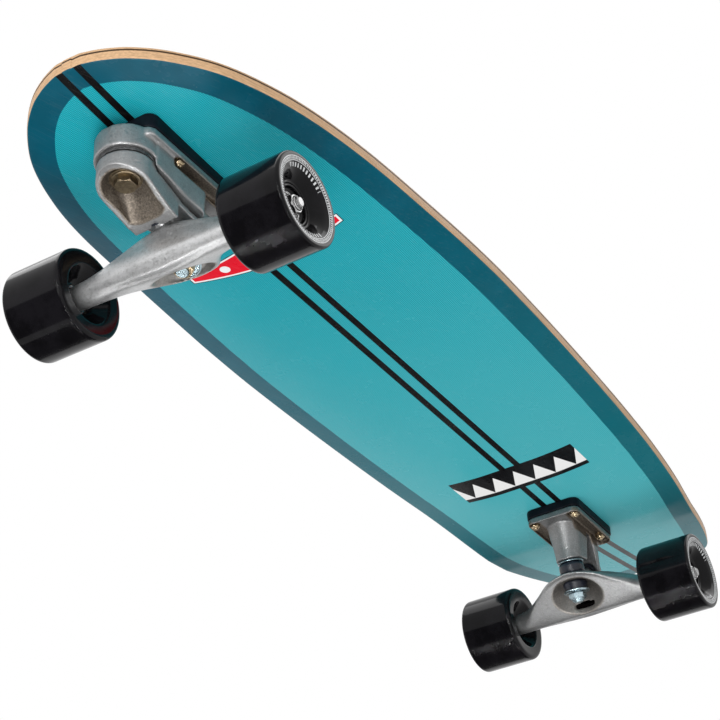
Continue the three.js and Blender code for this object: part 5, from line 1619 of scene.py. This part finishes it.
class SURF_OT_axles(bpy.types.Operator):
    """Makes the axles and their nuts"""

    bl_idname = "surf_skateboard.axles"
    bl_label = "Axles"

    def execute(self, context):
        metal = context.scene.surf_metal
        # The axle is painted black inside the hanger, as painted shade.
        steel = steel_finish("axle_steel", toned(metal.bright_steel, 0.55), 0.20, shade_reach=HANGER_HALF)
        nut_steel = steel_finish("axle_nut_steel", toned(metal.bright_steel, 0.75), 0.16, 0.75, 0.1)
        thread = WHEEL_TRACK / 2 + CORE_HALF - 4
        for end in TRUCKS:
            bar = threaded_bar((0, 0, 0), (0, 1, 0), AXLE_RADIUS, -AXLE_END, AXLE_END,
                               [(-AXLE_END, -thread), (thread, AXLE_END)])
            mark_turning(bar, (0, 0, 0), (0, 1, 0))
            add_piece(f"{end}_axle_bar", bar, f"{end}_carriage", steel,
                      f"{end}_axle", end)
            for side, sign in sides_of(end):
                facing = np.array([0, sign, 0])
                start = facing * (WHEEL_TRACK / 2 + CORE_HALF + GAP)
                nut = mark_turning(nut_mesh(start, facing, 12.7, 6.4, AXLE_BORE, 1.5), start, facing)
                add_piece(f"{end}_{side}_lock_nut", nut, f"{end}_carriage", nut_steel,
                          f"{end}_{side}_axle_nut", end, crease=30)
        return {"FINISHED"}


class SURF_OT_kingpins(bpy.types.Operator):
    """Makes the kingpins, their nuts, the cup washers, the bushings and the pivot cups"""

    bl_idname = "surf_skateboard.kingpins"
    bl_label = "Kingpins and bushings"

    def execute(self, context):
        metal = context.scene.surf_metal
        zinc = steel_finish("blue_zinc", metal.blue_zinc, 0.22, 0.6, 0.25)
        urethane = bushing_finish(context.scene.surf_urethane)
        gold = steel_finish("nut_zinc", metal.gold_zinc, 0.24)
        for end, form in TRUCKS.items():
            carrier = "front_swing_arm" if end == "front" else "board"
            self.bushings(end, form, carrier, urethane, zinc)
            nut_start = RING_WALL / 2 + 3 * GAP + LOWER_BUSHING + CUP_WALL
            start = form.on_pin(nut_start)
            nut = mark_turning(nut_mesh(start, form.down, 14.3, 7, KINGPIN_HOLE, 1.7), start, form.down)
            add_piece(f"{end}_kingpin_lock_nut", nut, carrier, gold if end == "front" else zinc,
                      f"{end}_kingpin_nut", end, crease=30)
            head, tip = form.head_depth, nut_start + 8.6
            pin = threaded_bar(form.seat, form.down, KINGPIN_RADIUS, head, tip, [(tip - 16, tip)])
            cap = turned(rounded([(0, head - 3.4), (7.2, head - 3.4), (7.2, head), (0, head)], 0.6),
                         form.seat, form.down)
            pin = mark_turning(together((pin, 0), (cap, 0)), form.seat, form.down)
            add_piece(f"{end}_kingpin_bar", pin, carrier, zinc, f"{end}_kingpin", end)
        return {"FINISHED"}

    @staticmethod
    def bushings(end, form, carrier, urethane, zinc):
        """The two bushings and their cup washers, as rings spun round the kingpin."""
        bore = KINGPIN_RADIUS + GAP
        plans = [("upper", form.upper_bushing, -1, 11.8), ("lower", LOWER_BUSHING, 1, 10.6)]
        for place, height, way, waist in plans:
            depth = way * (RING_WALL / 2 + GAP)
            profile = [(bore + 2, 0), (10.6, 0), (11.8, 0.2 * height), (waist, 0.75 * height),
                       (9.9, height), (bore, height), (bore + 2, 0.5 * height)]
            profile = [(radius, rise * way) for radius, rise in profile]
            start = form.on_pin(depth)
            ring = turned_piece(rounded(profile, [0.4, 0.9, 2.0, 2.0, 0.9, 0.3, 1.0], 7, closed=True),
                                start, form.down, 96, closed=True)
            bend = f"{end}_carriage", start, form.on_pin(depth + way * height)
            add_piece(f"{end}_{place}_bushing_ring", ring, carrier, urethane,
                      f"{end}_{place}_bushing", end, bend=bend)
            cup = [(bore, 0), (11.0, 0), (12.4, 1.6), (11.7, 2.3), (10.2, CUP_WALL), (bore, CUP_WALL)]
            cup = [(radius, -rise * way) for radius, rise in cup]
            washer = turned_piece(rounded(cup, [0.2, 1.0, 0.45, 0.3, 0.9, 0.2], 6, closed=True),
                                  form.on_pin(depth + way * (GAP + height + CUP_WALL)), form.down, 96,
                                  closed=True)
            add_piece(f"{end}_{place}_cup", washer, carrier, zinc,
                      f"{end}_{place}_cup_washer", end)
        inner = [(4.8 * np.cos(a), 4.8 * np.sin(a)) for a in np.radians([75, 60, 45, 30, 15, 0])]
        cup = [(0, 4.8), *inner, (4.8, -2.25), (8.0, -2.25), (8.0, -0.85), (6.6, -0.85), (6.6, 3.96),
               (3.96, 6.6), (0, 6.6)]
        add_piece(f"{end}_pivot_cup_liner", turned_piece(cup, form.pivot, form.axis), carrier,
                  urethane, f"{end}_pivot_cup", end)


class SURF_OT_swing_parts(bpy.types.Operator):
    """Makes the swing bolt, its bearing and the return spring's parts"""

    bl_idname = "surf_skateboard.swing_parts"
    bl_label = "Swing bolt and spring"

    def execute(self, context):
        metal = context.scene.surf_metal
        # The swing bolt's zinc is painted darker, as painted shade, where it sits deep in the arm's scoop.
        gold = steel_finish("shaded_gold_zinc", toned(metal.gold_zinc, 0.42), 0.30, 0.45, 0.5)
        race = steel_finish("race_steel", toned(metal.bright_steel, 0.42), 0.26, 0.4, 0.4)
        steel = steel_finish("spring_steel", toned(metal.bright_steel, 0.7), 0.28)
        head = SWING_AHEAD
        seat = below(SEAT_DROP) - GAP
        start = (head, 0, seat)
        nut = nut_mesh((head, 0, seat - 1.5), (0, 0, -1), 14.6, 6, 0)
        washer = turned(rounded([(0, 0), (11.6, 0), (11.6, 1.6), (0, 1.6)], 0.4), start, (0, 0, -1), 64)
        collar = turned(rounded([(0, 0), (10.54, 0), (10.54, -2.2), (9.4, -2.6), (0, -2.6)], 0.5), start,
                        (0, 0, 1), 64)
        shank = rod((head, 0, seat - 2), (0, 0, 1), below(BOLT_TOP_DROP) - seat + 2, 5.5)
        bolt = mark_turning(together((nut, 0), (washer, 0), (collar, 0), (shank, 0)), start, (0, 0, -1))
        add_piece("swing_bolt_head", bolt, "board", gold, "swing_bolt", "front", crease=30)
        low, high = below(HEAD_DROP) + GAP, below(DRUM_DROP) - GAP
        span = high - low
        side = [(20.4, 0.32), (19.7, 0.36), (19.7, 0.46), (20.4, 0.5), (20.4, 0.72), (19.8, 0.76),
                (19.8, 0.84), (20.4, 0.88)]
        ring = [(13.3, low), (19.4, low), (20.4, low + 0.4),
                *((radius, low + share * span) for radius, share in side), (20.4, high), (13.3, high)]
        bearing = turned_piece(ring, (head, 0, 0), (0, 0, 1), 96, closed=True)
        add_piece("swing_bearing_ring", bearing, "board", race, "swing_bearing", "front",
                  crease=30)
        self.spring_parts(steel)
        return {"FINISHED"}

    @staticmethod
    def spring_parts(steel):
        """The plunger and plug as turned pieces, and the spring as a circle carried round a helix."""
        height, cam = below(SPRING_DROP), SWING_AHEAD - 13.3
        plug_end = BLOCK_TO_SEAT - SEAT_IN
        profile = rounded([(0, 0), (4.2, 0), (5.2, 1.04), (5.2, 15), (0, 15)], 0.5)
        plunger = turned_piece(profile, (cam, 0, height), (-1, 0, 0))
        add_piece("spring_plunger_pin", plunger, "board", steel, "spring_plunger", "front")
        plug_start = (plug_end, 0, height)
        plug = carved(turned(rounded([(0, 0), (5.3, 0), (5.3, 6), (0, 6)], 0.5), plug_start, (1, 0, 0)), [
            ("DIFFERENCE", rod((plug_end - 2, 0, height), (1, 0, 0), 5, 3.2, segments=6))])
        mark_turning(plug, plug_start, (1, 0, 0))
        add_piece("spring_screw_plug", plug, "board", steel, "spring_plug", "front",
                  crease=30)
        wire = 0.8
        start = plug_end + 6 + wire + GAP
        reach = cam - 15 - wire - GAP - start
        turn = np.linspace(0, 12 * np.pi, 241)[:, None]
        spin = np.linspace(0, 2 * np.pi, 13)[:-1][None, :]
        radius = 3.9 + wire * np.cos(spin)
        coil = np.stack(np.broadcast_arrays(
            start + reach * turn / (12 * np.pi) + wire * np.sin(spin), radius * np.cos(turn),
            height + radius * np.sin(turn)), axis=-1)
        spring = mark_turning(skin(coil), (start, 0, height), (1, 0, 0))
        add_piece("return_spring_coil", spring, "board", steel, "return_spring", "front")


class SURF_OT_deck_bolts(bpy.types.Operator):
    """Makes the eight deck bolts with their lock nuts"""

    bl_idname = "surf_skateboard.deck_bolts"
    bl_label = "Deck bolts"

    def execute(self, context):
        form = DeckForm(context.scene.surf_deck)
        gold = steel_finish("bolt_zinc", context.scene.surf_metal.gold_zinc, 0.22, 0.6, 0.3)
        collar = nylon_finish()
        nut_top = FRONT_AXLE[2] + below(2.5) - GAP
        for end in TRUCKS:
            for number, (x, y) in enumerate(bolt_places(end), 1):
                top = float(form.underside(x, 0)) + form.thickness
                mesh = self.bolt(x, y, top, nut_top)
                mark_turning(mesh, (x, y, top), (0, 0, 1))
                add_piece(f"{end}_deck_screw_{number}", mesh, "board", [gold, collar],
                          f"{end}_deck_bolt_{number}", crease=30)
        return {"FINISHED"}

    @staticmethod
    def bolt(x, y, top, nut_top):
        """A countersunk bolt with a cross recess, and the lock nut on its thread."""
        head = turned([(0, -7), (2.4, -7), (2.4, -3), (4.5, -0.5), (4.55, -0.15), (4.3, 0), (0, 0)],
                      (x, y, top), (0, 0, 1), 48)
        arm = np.array([(2.3, -0.45), (2.3, 0.45), (-2.3, 0.45), (-2.3, -0.45)])
        slots = [("DIFFERENCE", prism(cross + (x, y), top - 1.6, top + 1)) for cross in (arm, arm[:, ::-1])]
        head = carved(head, slots)
        shank = threaded_bar((x, y, 0), (0, 0, 1), 2.35, nut_top - 6.2, top - 6.5,
                             [(nut_top - 6.2, nut_top + 2)], 0.8, 0.28)
        nut = nut_mesh((x, y, nut_top), (0, 0, -1), 8, 5, 2.4, 1.3)
        insert = turned([(2.35, -4.1), (3.0, -4.1), (3.0, -4.75), (2.35, -4.75)], (x, y, nut_top),
                        (0, 0, 1), 32, closed=True)
        return together((head, 0), (shank, 0), (nut, 0), (insert, 1))


OPERATORS = (SURF_OT_stage, SURF_OT_deck, SURF_OT_grip, SURF_OT_risers, SURF_OT_front_base,
             SURF_OT_swing_arm, SURF_OT_rear_base, SURF_OT_hangers, SURF_OT_wheels, SURF_OT_axles,
             SURF_OT_kingpins, SURF_OT_swing_parts, SURF_OT_deck_bolts)
SETTINGS = {"surf_deck": DeckSettings, "surf_metal": MetalSettings,
            "surf_urethane": UrethaneSettings, "surf_stage": StageSettings}


class SURF_PT_skateboard(bpy.types.Panel):
    """Lists the steps in the sidebar"""

    bl_idname = "SURF_PT_skateboard"
    bl_label = "Surf skateboard"
    bl_space_type = "VIEW_3D"
    bl_region_type = "UI"
    bl_category = "Surf skateboard"

    def draw(self, context):
        for name, group in SETTINGS.items():
            box = self.layout.box()
            for key in group.__annotations__:
                box.prop(getattr(context.scene, name), key)
        for operator in OPERATORS:
            self.layout.operator(operator.bl_idname)


CLASSES = (*SETTINGS.values(), *OPERATORS, SURF_PT_skateboard)


def register():
    """Makes the settings, the operators and the panel known to Blender."""
    for known in CLASSES:
        bpy.utils.register_class(known)
    for name, group in SETTINGS.items():
        setattr(bpy.types.Scene, name, PointerProperty(type=group))


def unregister():
    """Takes them away again."""
    for name in SETTINGS:
        delattr(bpy.types.Scene, name)
    for known in reversed(CLASSES):
        bpy.utils.unregister_class(known)


def main():
    """Builds everything in order."""
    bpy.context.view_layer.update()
    register()
    steps = bpy.ops.surf_skateboard
    steps.stage()
    steps.deck()
    steps.grip()
    steps.risers()
    steps.front_base()
    steps.swing_arm()
    steps.rear_base()
    steps.hangers()
    steps.wheels()
    steps.axles()
    steps.kingpins()
    steps.swing_parts()
    steps.deck_bolts()


if __name__ == "__main__":
    main()
